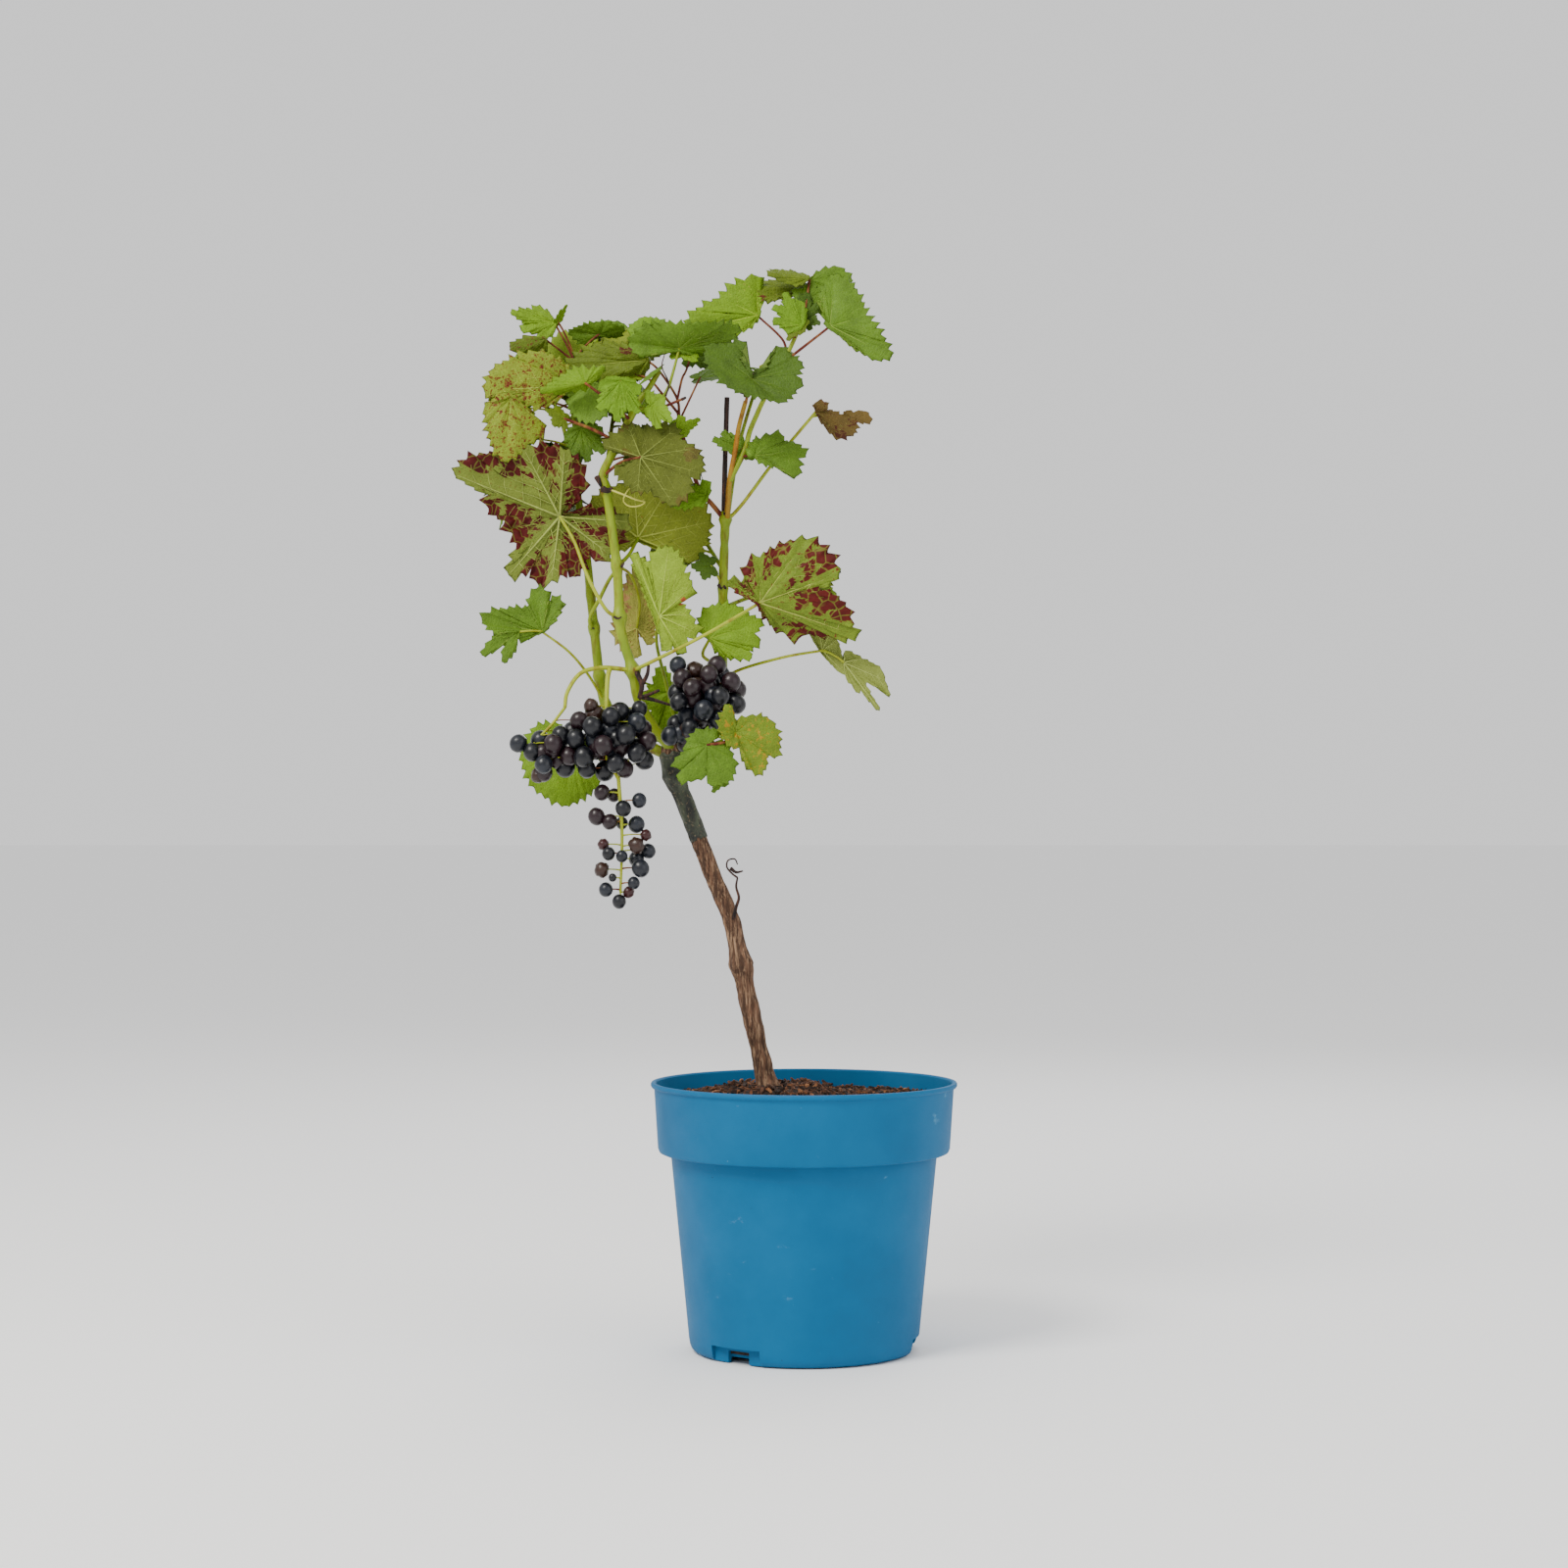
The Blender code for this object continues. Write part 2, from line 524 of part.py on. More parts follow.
def tube(name, route, sides=4, grow=0.0, kind=None):
    """A round limb through (x, z, y, radius) points, closed at both ends, grown all round."""
    points = [Vector((*drawn(x, z, y), (radius + grow) * MM)) for x, z, y, radius in route]
    for end, beside in ((0, 1), (-1, -2)):
        outward = (points[end] - points[beside]).to_3d().normalized()
        points[end] += Vector((*outward, 0.0)) * grow * MM
    curve = bpy.data.curves.new(name, "CURVE")
    curve.dimensions = "3D"
    curve.bevel_depth = 1.0
    curve.bevel_resolution = (sides - 4) // 2
    curve.use_fill_caps = True
    spline = curve.splines.new("POLY")
    spline.points.add(len(points) - 1)
    for knot, point in zip(spline.points, points):
        knot.co = (*point[:3], 1.0)
        knot.radius = point[3]
    line = put(name + "_line", curve)
    bpy.context.view_layer.update()
    mesh = baked(line)
    bpy.data.objects.remove(line)
    bpy.data.curves.remove(curve)
    bm = bmesh.new()
    bm.from_mesh(mesh)
    bmesh.ops.remove_doubles(bm, verts=bm.verts, dist=1e-6)
    bmesh.ops.recalc_face_normals(bm, faces=bm.faces)
    bm.to_mesh(mesh)
    bm.free()
    return put(name, mesh, kind)


def tapered(start, end, *points):
    """A route whose radius runs evenly from start to end."""
    last = len(points) - 1
    return [(*point, start + (end - start) * i / last) for i, point in enumerate(points)]


def lathe(name, profile, steps, kind=None):
    """A turned solid from (radius, height) points that start and end on the axis."""
    mesh = bpy.data.meshes.new(name)
    mesh.from_pydata([(r * MM, 0.0, z * MM) for r, z in profile],
                     [(i, i + 1) for i in range(len(profile) - 1)], [])
    thing = put(name, mesh)
    turn = thing.modifiers.new("turn", "SCREW")
    turn.steps = steps
    turn.render_steps = steps
    turn.use_merge_vertices = True
    turn.merge_threshold = 0.00001
    solid = baked(thing)
    discard(thing)
    bm = bmesh.new()
    bm.from_mesh(solid)
    bmesh.ops.remove_doubles(bm, verts=bm.verts, dist=1e-6)
    bmesh.ops.recalc_face_normals(bm, faces=bm.faces)
    bm.to_mesh(solid)
    bm.free()
    return put(name, solid, kind)


def block(name, width, depth, height, radius, angle, foot):
    """A box on the pot's wall: its inner face stands at the radius, and its foot at the height."""
    bm = bmesh.new()
    bmesh.ops.create_cube(bm, size=1.0)
    for vert in bm.verts:
        along, across, up = vert.co
        reach = radius + (along + 0.5) * depth
        turn = math.radians(angle)
        side = across * width
        vert.co = Vector((reach * math.cos(turn) - side * math.sin(turn),
                          reach * math.sin(turn) + side * math.cos(turn),
                          foot + (up + 0.5) * height)) * MM
    return from_bmesh(name, bm)


def inner_radius(height):
    """The inside of the pot's wall below the shoulder."""
    share = (height - BODY_FOOT) / (SHOULDER - BODY_FOOT)
    return BODY_FOOT_RADIUS + (BODY_TOP_RADIUS - BODY_FOOT_RADIUS) * share - WALL


def build_pot():
    floor = CHANNEL_HEIGHT + FLOOR
    collar_inside = COLLAR_FOOT + 1.5
    outside = [
        (0, 0), (CHANNEL_INNER - 2, 0), (CHANNEL_INNER, CHANNEL_HEIGHT), (CHANNEL_OUTER, CHANNEL_HEIGHT),
        (CHANNEL_OUTER + 1, 0), (FOOT_RADIUS, 0), (FOOT_RADIUS + 4.5, 2), (BODY_FOOT_RADIUS, BODY_FOOT),
        (BODY_TOP_RADIUS, SHOULDER), (COLLAR_FOOT_RADIUS - 2.4, SHOULDER + 0.3),
        (COLLAR_FOOT_RADIUS, COLLAR_FOOT + 2.4), (COLLAR_TOP_RADIUS, POT_HEIGHT - RIM_BEAD),
        (RIM_RADIUS, POT_HEIGHT - RIM_BEAD), (RIM_RADIUS, POT_HEIGHT - 0.6), (RIM_RADIUS - 0.6, POT_HEIGHT),
    ]
    inside = [
        (COLLAR_TOP_RADIUS - WALL, POT_HEIGHT), (COLLAR_FOOT_RADIUS - WALL, collar_inside),
        (BODY_TOP_RADIUS - WALL, collar_inside), (inner_radius(FOOT_STEP), FOOT_STEP),
        (FOOT_INSIDE_RADIUS, FOOT_STEP), (FOOT_INSIDE_RADIUS, floor), (CHANNEL_INNER - 3, floor),
        (CHANNEL_INNER - 4, FLOOR), (0, FLOOR),
    ]
    shell = lathe("pot_shell", outside + inside, POT_STEPS)
    cuts = []
    for angle in NOTCH_ANGLES:
        cuts.append(block("notch", NOTCH_WIDTH, 30, NOTCH_HEIGHT + 1, NOTCH_FLOOR_RADIUS, angle, -1))
        cuts.append(block("slot", SLOT_WIDTH, 10, SLOT_HEIGHT + 1, CHANNEL_OUTER - 0.5, angle, -1))
    return combine("pot", "DIFFERENCE", shell, cuts, "pot")


def build_soil():
    low = FLOOR + CLEARANCE
    high = CHANNEL_HEIGHT + low
    step = FOOT_STEP + CLEARANCE
    neck = COLLAR_FOOT + 1.5 + CLEARANCE
    collar_slope = (COLLAR_TOP_RADIUS - COLLAR_FOOT_RADIUS) / (POT_HEIGHT - COLLAR_FOOT)
    edge_radius = COLLAR_FOOT_RADIUS - WALL + (SOIL_EDGE - COLLAR_FOOT) * collar_slope - CLEARANCE - 0.2
    profile = [
        (0, low), (CHANNEL_INNER - 4.6, low), (CHANNEL_INNER - 3.6, high),
        (FOOT_INSIDE_RADIUS - CLEARANCE, high), (FOOT_INSIDE_RADIUS - CLEARANCE, step),
        (inner_radius(step) - CLEARANCE, step), (BODY_TOP_RADIUS - WALL - CLEARANCE, neck),
        (COLLAR_FOOT_RADIUS - WALL - CLEARANCE, neck), (edge_radius, SOIL_EDGE),
        *[(radius, SOIL_EDGE + 0.5) for radius in SOIL_RINGS], (0, SOIL_EDGE + 0.5),
    ]
    soil = lathe("soil", profile, POT_STEPS // 2, "soil")
    foot_x = TRUNK["route"][0][0] * MM
    for vert in soil.data.vertices:
        if vert.co.z > SOIL_EDGE * MM:
            away = math.hypot(vert.co.x - foot_x, vert.co.y) / MM
            share = min(1.0, max(0.0, (away - SEAT_RADIUS) / (HEAP_RADIUS - SEAT_RADIUS)))
            vert.co.z += SOIL_HEAP * 0.5 * (1 + math.cos(math.pi * share)) * MM
    return soil


def build_trunk():
    seat = (SOIL_EDGE + 0.5 + SOIL_HEAP + CLEARANCE) * MM
    trunk = tube("trunk", rings(TRUNK), sides=12, kind="trunk")
    bm = bmesh.new()
    bm.from_mesh(trunk.data)
    everything = bm.verts[:] + bm.edges[:] + bm.faces[:]
    cut = bmesh.ops.bisect_plane(bm, geom=everything, plane_co=(0, 0, seat), plane_no=(0, 0, 1),
                                 clear_inner=True)
    rim = [edge for edge in cut["geom_cut"] if isinstance(edge, bmesh.types.BMEdge)]
    bmesh.ops.edgeloop_fill(bm, edges=rim)
    bmesh.ops.recalc_face_normals(bm, faces=bm.faces)
    bm.to_mesh(trunk.data)
    bm.free()
    return trunk


def waxed(grow, beyond=0.0):
    """The stretch of the trunk under the graft wax, thickened and lengthened as asked."""
    stretch = []
    for (x0, z0, y0, r0), (x1, z1, y1, r1) in zip(rings(TRUNK), rings(TRUNK)[1:]):
        for level in (WAX_FROM - beyond, WAX_TO + beyond):
            if z0 <= level < z1:
                t = (level - z0) / (z1 - z0)
                stretch.append((x0 + (x1 - x0) * t, level, y0, r0 + (r1 - r0) * t + grow))
        if WAX_FROM - beyond < z1 < WAX_TO + beyond:
            stretch.append((x1, z1, y1, r1 + grow))
    return sorted(stretch, key=lambda point: point[1])


def build_wax():
    sleeve = tube("sleeve", waxed(CLEARANCE + WAX_THICKNESS), sides=12)
    core = tube("core", waxed(CLEARANCE, beyond=8), sides=12)
    return combine("graft_wax", "DIFFERENCE", sleeve, [core], "graft_wax")


def grown(limb):
    """A cutter for what grows out of a limb: the same limb, larger all round by the clearance."""
    if limb == "trunk":
        return tube("trunk_cutter", rings(TRUNK), sides=12, grow=CLEARANCE)
    return tube(limb + "_cutter", rings(CANES[limb]), sides=CANE_SIDES, grow=CLEARANCE)


def build_cane(name, limb):
    cane = tube(name + "_whole", rings(limb), sides=CANE_SIDES)
    return combine(name, "DIFFERENCE", cane, [grown("trunk")], "cane")


def build_dead_tip():
    tip = tube("tip_whole", rings(DEAD_TIP), sides=6)
    return combine("dead_tip", "DIFFERENCE", tip, [grown("cane_right")], "dead_tip")


def regular_veins(tip, side):
    """The five veins of a regular leaf, from its middle lobe and one side lobe."""
    angle, share = SIDE_VEINS[3]
    turn = math.radians(angle)
    across = (side / share - tip * math.cos(turn)) / math.sin(turn)
    return [(tip * math.cos(math.radians(a)) + across * math.sin(math.radians(a))) * s
            for a, s in SIDE_VEINS]


def blade_outline(veins, across):
    """The outline round the stalk's end: every lobe, the cuts between them, and the notch."""
    outline = []
    opened = 0.0
    for here, after in zip(veins, veins[1:]):
        outline.append(here)
        if here.angle(after) > SINUS_FROM:
            middle = (here.normalized() + after.normalized()).normalized()
            outline.append(middle * SINUS * (here.length + after.length) / 2)
        opened += here.angle(after)
    outline.append(veins[-1])
    back = Matrix.Rotation(opened / 2 - math.pi, 3, across) @ veins[0].normalized()
    outline.append(back * NOTCH_REACH * (veins[0].length + veins[-1].length) / 2)
    return outline


def leaf(root, joint, veins):
    """A leaf: its thin lobed blade, a two-ended pyramid over the outline, and its stalk if it has one."""
    across = sum((here.cross(after) for here, after in zip(veins, veins[1:])), Vector()).normalized()
    outline = blade_outline(veins, across)
    thickness = max(THINNEST * MM, BLADE_THICKNESS * max(vein.length for vein in veins))
    bm = bmesh.new()
    bmesh.ops.create_uvsphere(bm, u_segments=len(outline), v_segments=2, radius=1.0)
    ring = [vert for vert in bm.verts if abs(vert.co.z) < 0.5]
    ring.sort(key=lambda vert: math.atan2(vert.co.y, vert.co.x))
    for vert in bm.verts:
        if vert not in ring:
            vert.co = joint + across * math.copysign(thickness / 2, vert.co.z)
    for vert, reach in zip(ring, outline):
        vert.co = joint + reach
    bmesh.ops.recalc_face_normals(bm, faces=bm.faces)
    pieces = [from_bmesh("blade", bm)]
    if (root - joint).length > 2 * MM:
        pieces.append(stalk(root, joint + outline[-1] / 2))
    return pieces


def nearest_below(stems, joint):
    """Where a stalk leaves: the closest place on the stems, lower than the blade if there is one."""
    best = None
    for stem in stems:
        for (*start, r0), (*end, r1) in zip(stem, stem[1:]):
            for t in (0.0, 0.25, 0.5, 0.75, 1.0):
                place = drawn(*start).lerp(drawn(*end), t)
                cost = (place - joint).length + max(0.0, place.z - joint.z)
                if best is None or cost < best[0]:
                    best = (cost, place)
    return best[1]


def stalk(root, joint):
    """A three-sided leaf or berry stalk from the shoot to what it carries."""
    along = joint - root
    bm = bmesh.new()
    bmesh.ops.create_cone(bm, cap_ends=True, segments=3, radius1=1.2 * STALK_RADIUS * MM,
                          radius2=STALK_RADIUS * MM, depth=along.length)
    placed = Matrix.Translation((root + joint) / 2) @ along.to_track_quat("Z", "Y").to_matrix().to_4x4()
    bmesh.ops.transform(bm, matrix=placed, verts=bm.verts)
    return from_bmesh("stalk", bm)


def placed_leaf(plan, routes):
    """One leaf of the drawing: its blade, with a stalk where no stem already ends at it."""
    joint = drawn(*plan[0])
    spread = 1.0 + plan[0][2] / -EYE.y
    veins = [Vector((x, y, z)) * spread * MM for x, z, y in plan[1:]]
    veins = regular_veins(*veins) if len(veins) == 2 else veins
    return leaf(nearest_below(routes, joint), joint, veins)


def build_mass(name, plan, kind):
    """One mass of leaves: its stems, stalks and blades fused, standing clear of its limb."""
    routes = [tapered(*stem) for stem in plan["stems"]]
    stems = [tube("stem", route) for route in routes]
    pieces = []
    for leaf_plan in plan["leaves"]:
        pieces += placed_leaf(leaf_plan, routes)
    whole = combine(name + "_whole", "UNION", stems[0], stems[1:] + pieces)
    return combine(name, "DIFFERENCE", whole, [grown(plan["on"])], kind)


def berry(centre, radius):
    bm = bmesh.new()
    bmesh.ops.create_uvsphere(bm, u_segments=BERRY_SIDES, v_segments=BERRY_RINGS, radius=radius * MM)
    bmesh.ops.translate(bm, verts=bm.verts, vec=centre)
    return from_bmesh("berry", bm)


def cluster_berries(rng, centre, half, count, radius):
    """Berries spread evenly over an ellipsoid, turned by the golden angle from one to the next."""
    places = []
    for i in range(count):
        height = 1 - (2 * i + 1) / count
        flat = math.sqrt(1 - height ** 2)
        turn = math.radians(TURN * i)
        reach = [flat * math.cos(turn), height, flat * math.sin(turn)]
        place = [middle + axis * share * rng.uniform(0.92, 1.06)
                 for middle, axis, share in zip(centre, half, reach)]
        places.append((*place, radius * rng.uniform(0.92, 1.06)))
    return places


def core(centre, half, radius):
    """The berries inside a cluster, as one rounded body that the outer ones stand out of."""
    bm = bmesh.new()
    bmesh.ops.create_icosphere(bm, subdivisions=1, radius=1.0)
    across, up, deep = ((axis - CORE_DEPTH * radius) * MM for axis in half)
    bmesh.ops.scale(bm, verts=bm.verts, vec=(across, deep, up))
    bmesh.ops.translate(bm, verts=bm.verts, vec=drawn(*centre))
    return from_bmesh("core", bm)


def build_bunch(name, plan):
    """One bunch: its stalks, its clusters, and the loose berries on their own stalks, fused."""
    rng = random.Random(name)
    routes = [tapered(*stem) for stem in plan["stems"]]
    stems = [tube("stem", route) for route in routes]
    pieces = []
    for centre, half, count, radius in plan["clusters"]:
        pieces.append(core(centre, half, radius))
        pieces += [berry(drawn(*place), size) for *place, size in
                   cluster_berries(rng, centre, half, count, radius)]
    for *place, radius in plan["loose"]:
        centre = drawn(*place)
        pieces += [berry(centre, radius), stalk(nearest_below(routes, centre), centre)]
    whole = combine(name + "_whole", "UNION", stems[0], stems[1:] + pieces)
    return combine(name, "DIFFERENCE", whole, [grown(plan["on"])], "grapes")


def tree_of(thing):
    bm = bmesh.new()
    bm.from_mesh(thing.data)
    tree = BVHTree.FromBMesh(bm)
    bm.free()
    return tree


def hidden(place, standing):
    """Whether something nearer stands between the eye and this place."""
    sight = place - EYE * MM
    return any(tree.ray_cast(EYE * MM, sight.normalized(), sight.length)[0] for tree in standing)


def build_back_mass(name, plan):
    """A shoot on the far side: leaves turn round it by a seeded rule, each kept to its room."""
    limb, root, centre, half, count = plan
    rng = random.Random(name)
    standing = [tree_of(thing) for thing in PLANT.objects if thing.name not in (limb, "pot", "soil")]
    tip = (centre[0], centre[1] + 0.5 * half[1], centre[2] + 0.2 * half[2])
    bend = (0.6 * root[0] + 0.4 * centre[0], 0.45 * root[1] + 0.55 * centre[1],
            0.35 * root[2] + 0.65 * centre[2] - 0.3 * half[2])
    route = tapered(1.7, 1.1, root, bend, centre, tip)
    stem = tube("stem", route)
    shoot = tree_of(stem)
    middle_of_room = drawn(*centre)
    reach_of_room = [reach * MM for reach in (half[0], half[2], half[1])]
    pieces = []
    for i in range(count * 40):
        if len(pieces) >= 2 * count:
            break
        along = rng.uniform(0.3, 2.0)
        low, high = (bend, centre) if along < 1.0 else (centre, tip)
        place = drawn(*low).lerp(drawn(*high), along % 1.0)
        turn = math.radians(TURN * i + rng.uniform(-20, 20))
        outward = Vector((math.cos(turn), math.sin(turn), 0))
        joint = place + outward * rng.uniform(8, 20) * MM + Vector((0, 0, rng.uniform(0, 8))) * MM
        droop = math.radians(rng.uniform(10, 50))
        reach = rng.uniform(*BACK_LEAF) * MM
        middle = (outward * math.cos(droop) - Vector((0, 0, math.sin(droop)))) * reach
        sideways = Vector((-outward.y, outward.x, rng.uniform(-0.3, 0.3))).normalized() * reach
        angle, share = SIDE_VEINS[3]
        turned = math.radians(angle)
        side = (middle * math.cos(turned) + sideways * math.sin(turned)) * share
        veins = regular_veins(middle, side)
        tips = [joint + vein for vein in veins]
        if any(abs(tip[i] - middle_of_room[i]) > reach_of_room[i] for tip in tips for i in range(3)):
            continue
        if not all(hidden(tip, standing) for tip in tips):
            continue
        pair = leaf(place, joint, veins)
        crossed = any(tree_of(piece).overlap(tree) for piece in pair for tree in standing)
        if crossed or tree_of(pair[0]).overlap(shoot):
            for piece in pair:
                discard(piece)
            continue
        pieces += pair
    whole = combine(name + "_whole", "UNION", stem, pieces)
    return combine(name, "DIFFERENCE", whole, [grown(limb)], "leaves")


for old in list(bpy.data.objects):
    bpy.data.objects.remove(old)
PLANT = new_collection("grapevine")
HELPERS = new_collection("helpers")

build_pot()
build_soil()
build_trunk()
build_wax()
for cane_name, cane_limb in CANES.items():
    build_cane(cane_name, cane_limb)
build_dead_tip()
for mass_name, mass_plan in MASSES.items():
    mass_kind = "leaf_red" if "red" in mass_name else "leaf_dry" if "dry" in mass_name else "leaves"
    build_mass(mass_name, mass_plan, mass_kind)
for bunch_name, bunch_plan in BUNCHES.items():
    build_bunch(bunch_name, bunch_plan)
for mass_name, mass_plan in BACK_MASSES.items():
    build_back_mass(mass_name, mass_plan)
bpy.data.collections.remove(HELPERS)
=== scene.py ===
import math
import random

import bmesh
import bpy
import numpy as np
from mathutils import Matrix, Vector, noise
from mathutils.bvhtree import BVHTree


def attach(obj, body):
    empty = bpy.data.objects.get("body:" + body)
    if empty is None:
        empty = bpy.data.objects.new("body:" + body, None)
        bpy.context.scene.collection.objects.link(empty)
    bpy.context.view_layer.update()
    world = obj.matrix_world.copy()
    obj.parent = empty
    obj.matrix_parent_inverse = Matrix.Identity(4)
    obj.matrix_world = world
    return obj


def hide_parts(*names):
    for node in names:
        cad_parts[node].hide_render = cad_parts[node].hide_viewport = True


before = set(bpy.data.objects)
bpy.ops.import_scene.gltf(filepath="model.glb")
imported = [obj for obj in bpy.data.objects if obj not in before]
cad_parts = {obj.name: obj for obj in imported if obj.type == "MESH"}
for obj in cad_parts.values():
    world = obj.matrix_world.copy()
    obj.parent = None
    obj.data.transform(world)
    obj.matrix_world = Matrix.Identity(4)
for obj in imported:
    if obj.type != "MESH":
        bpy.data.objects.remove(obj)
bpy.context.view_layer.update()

# The pot. A thin blue nursery container, moulded in one piece: a rolled rim over a straight
# collar, a shoulder under it, a tapered body, and a foot with three drainage notches. It stands
# loose on the ground and holds the compost.
MM = 0.001
ROUND = 144                      # faces round what is turned and as wide as the pot
COLLAR_TOP, COLLAR_FOOT = 112.8, 109.6
BODY_TOP, BODY_FOOT = 99.9, 86.3
FOOT_LEVEL, BODY_RISE = 9, 138   # the taper's foot, and the height over which it widens
WALL = 1.8
NOTCH_TURNS = (-127.0, -7.0, 113.0)
NOTCH = dict(wide=44.0, deep=30, high=12.0, radius=79.6)
SLOT = dict(wide=19.0, deep=10, high=9.0, radius=75.5)
POT_BLUE, POT_DEEP = (25, 100, 145), (18, 88, 130)
POT_CHALK, POT_DIRT = (88, 150, 186), (28, 48, 60)


def linear(tint):
    """A colour as seen, 0 to 255, as the light values that a shader works in."""
    return tuple(c / 3294 if c <= 10 else ((c / 255 + 0.055) / 1.055) ** 2.4 for c in tint) + (1.0,)


def add_node(tree, kind, feeds, **settings):
    """One node, with its settings, and each of its sockets linked or set. Gives its outputs."""
    made = tree.nodes.new("ShaderNode" + kind)
    for name, value in settings.items():
        setattr(made, name, value)
    for name, value in feeds.items():
        if isinstance(value, bpy.types.NodeSocket):
            tree.links.new(value, made.inputs[name])
        else:
            made.inputs[name].default_value = value
    return made.outputs


def new_group(name, takes, gives):
    """A node group with its named sockets, and what its inside is fed by and feeds."""
    tree = bpy.data.node_groups.new(name, "ShaderNodeTree")
    for label, value in takes.items():
        kind = "NodeSocketColor" if isinstance(value, tuple) else "NodeSocketFloat"
        tree.interface.new_socket(label, in_out="INPUT", socket_type=kind).default_value = value
    for label in gives:
        kind = "NodeSocketColor" if label == "Colour" else "NodeSocketFloat"
        tree.interface.new_socket(label, in_out="OUTPUT", socket_type=kind)
    return tree, tree.nodes.new("NodeGroupInput").outputs, tree.nodes.new("NodeGroupOutput").inputs


def build_clouds():
    """Clouds of a second colour over the first. Along is under 1 where they are drawn out upwards."""
    tree, given, out = new_group("clouds", {"Colour": (1, 1, 1, 1), "Over": (0, 0, 0, 1), "Scale": 40.0,
                                            "Share": 0.5, "Soft": 0.2, "Along": 1.0}, ("Colour", "Mask"))
    place = add_node(tree, "TexCoord", {})["Object"]
    stretch = add_node(tree, "CombineXYZ", {"X": 1.0, "Y": 1.0, "Z": given["Along"]})[0]
    place = add_node(tree, "VectorMath", {0: place, 1: stretch}, operation="MULTIPLY")[0]
    cloud = add_node(tree, "TexNoise", {"Vector": place, "Scale": given["Scale"], "Detail": 5.0,
                                        "Roughness": 0.62})["Fac"]
    low = add_node(tree, "Math", {0: 0.75, 1: given["Share"]}, operation="SUBTRACT")[0]
    low = add_node(tree, "Math", {0: low, 1: given["Soft"]}, operation="SUBTRACT")[0]
    high = add_node(tree, "Math", {0: low, 1: given["Soft"]}, operation="ADD")[0]
    high = add_node(tree, "Math", {0: high, 1: given["Soft"]}, operation="ADD")[0]
    mask = add_node(tree, "MapRange", {"Value": cloud, "From Min": low, "From Max": high})[0]
    mixed = add_node(tree, "Mix", {0: mask, 6: given["Colour"], 7: given["Over"]}, data_type="RGBA")
    tree.links.new(mixed[2], out["Colour"])
    tree.links.new(mask, out["Mask"])
    return tree


CLOUDS = build_clouds()


def clouds(tree, scale, share, soft, along=1.0, **colours):
    """The colour and the mask that clouds of this scale give. Share is how much they cover."""
    feeds = {**colours, "Scale": scale, "Share": share, "Soft": soft, "Along": along}
    return add_node(tree, "Group", feeds, node_tree=CLOUDS)


def new_finish(name, **fixed):
    """A material whose constant values are on the shader's own sockets."""
    finish = bpy.data.materials.new(name)
    finish.use_nodes = True
    shader = finish.node_tree.nodes["Principled BSDF"]
    for label, value in fixed.items():
        shader.inputs[label.replace("_", " ")].default_value = value
    return finish, finish.node_tree, shader


def rough_and_bump(tree, shader, mask, smooth, rough, height, depth):
    """The mask sets the roughness from smooth to rough, and the height stands out by depth metres."""
    spread = add_node(tree, "MapRange", {"Value": mask, "To Min": smooth, "To Max": rough})[0]
    tree.links.new(spread, shader.inputs["Roughness"])
    bump = add_node(tree, "Bump", {"Height": height, "Distance": depth, "Strength": 1.0})[0]
    tree.links.new(bump, shader.inputs["Normal"])


def clouded_finish(name, base, layers, rough, depth, grain=None, worn=0, **fixed):
    """A material whose base colour lies under clouds of others: (colour, scale, share, soft, along).

    The mask of the layer numbered worn sets the roughness between the two values of rough. The
    relief is one more set of clouds, the grain, or else the last layer's mask.
    """
    finish, tree, shader = new_finish(name, **fixed)
    seen, masks = linear(base), []
    for colour, *numbers in layers:
        layer = clouds(tree, *numbers, Colour=seen, Over=linear(colour))
        seen = layer["Colour"]
        masks.append(layer["Mask"])
    height = clouds(tree, *grain)["Mask"] if grain else masks[-1]
    tree.links.new(seen, shader.inputs["Base Color"])
    rough_and_bump(tree, shader, masks[worn], *rough, height, depth)
    return finish


def pot_finish():
    """Matt blue plastic with a fine moulded grain, pale rubs, chalky specks and a few dark ones."""
    shades, rubs = (POT_DEEP, 14.0, 0.3, 0.25), (POT_CHALK, 44.0, 0.0, 0.07, 1.6)
    specks, dirt = (POT_CHALK, 420.0, 0.004, 0.02), (POT_DIRT, 230.0, 0.012, 0.03)
    return clouded_finish("pot_plastic", POT_BLUE, (shades, rubs, specks, dirt), (0.5, 0.62), 0.00008,
                          grain=(1300.0, 0.3, 0.3), Specular_IOR_Level=0.1)


def set_down(name, finishes, replaced=()):
    """Names the piece just modelled, gives it its finishes, and lets it ride on the part."""
    piece = bpy.context.object
    piece.name = piece.data.name = name
    for finish in finishes:
        piece.data.materials.append(finish)
    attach(piece, "root")
    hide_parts(*replaced)
    return piece


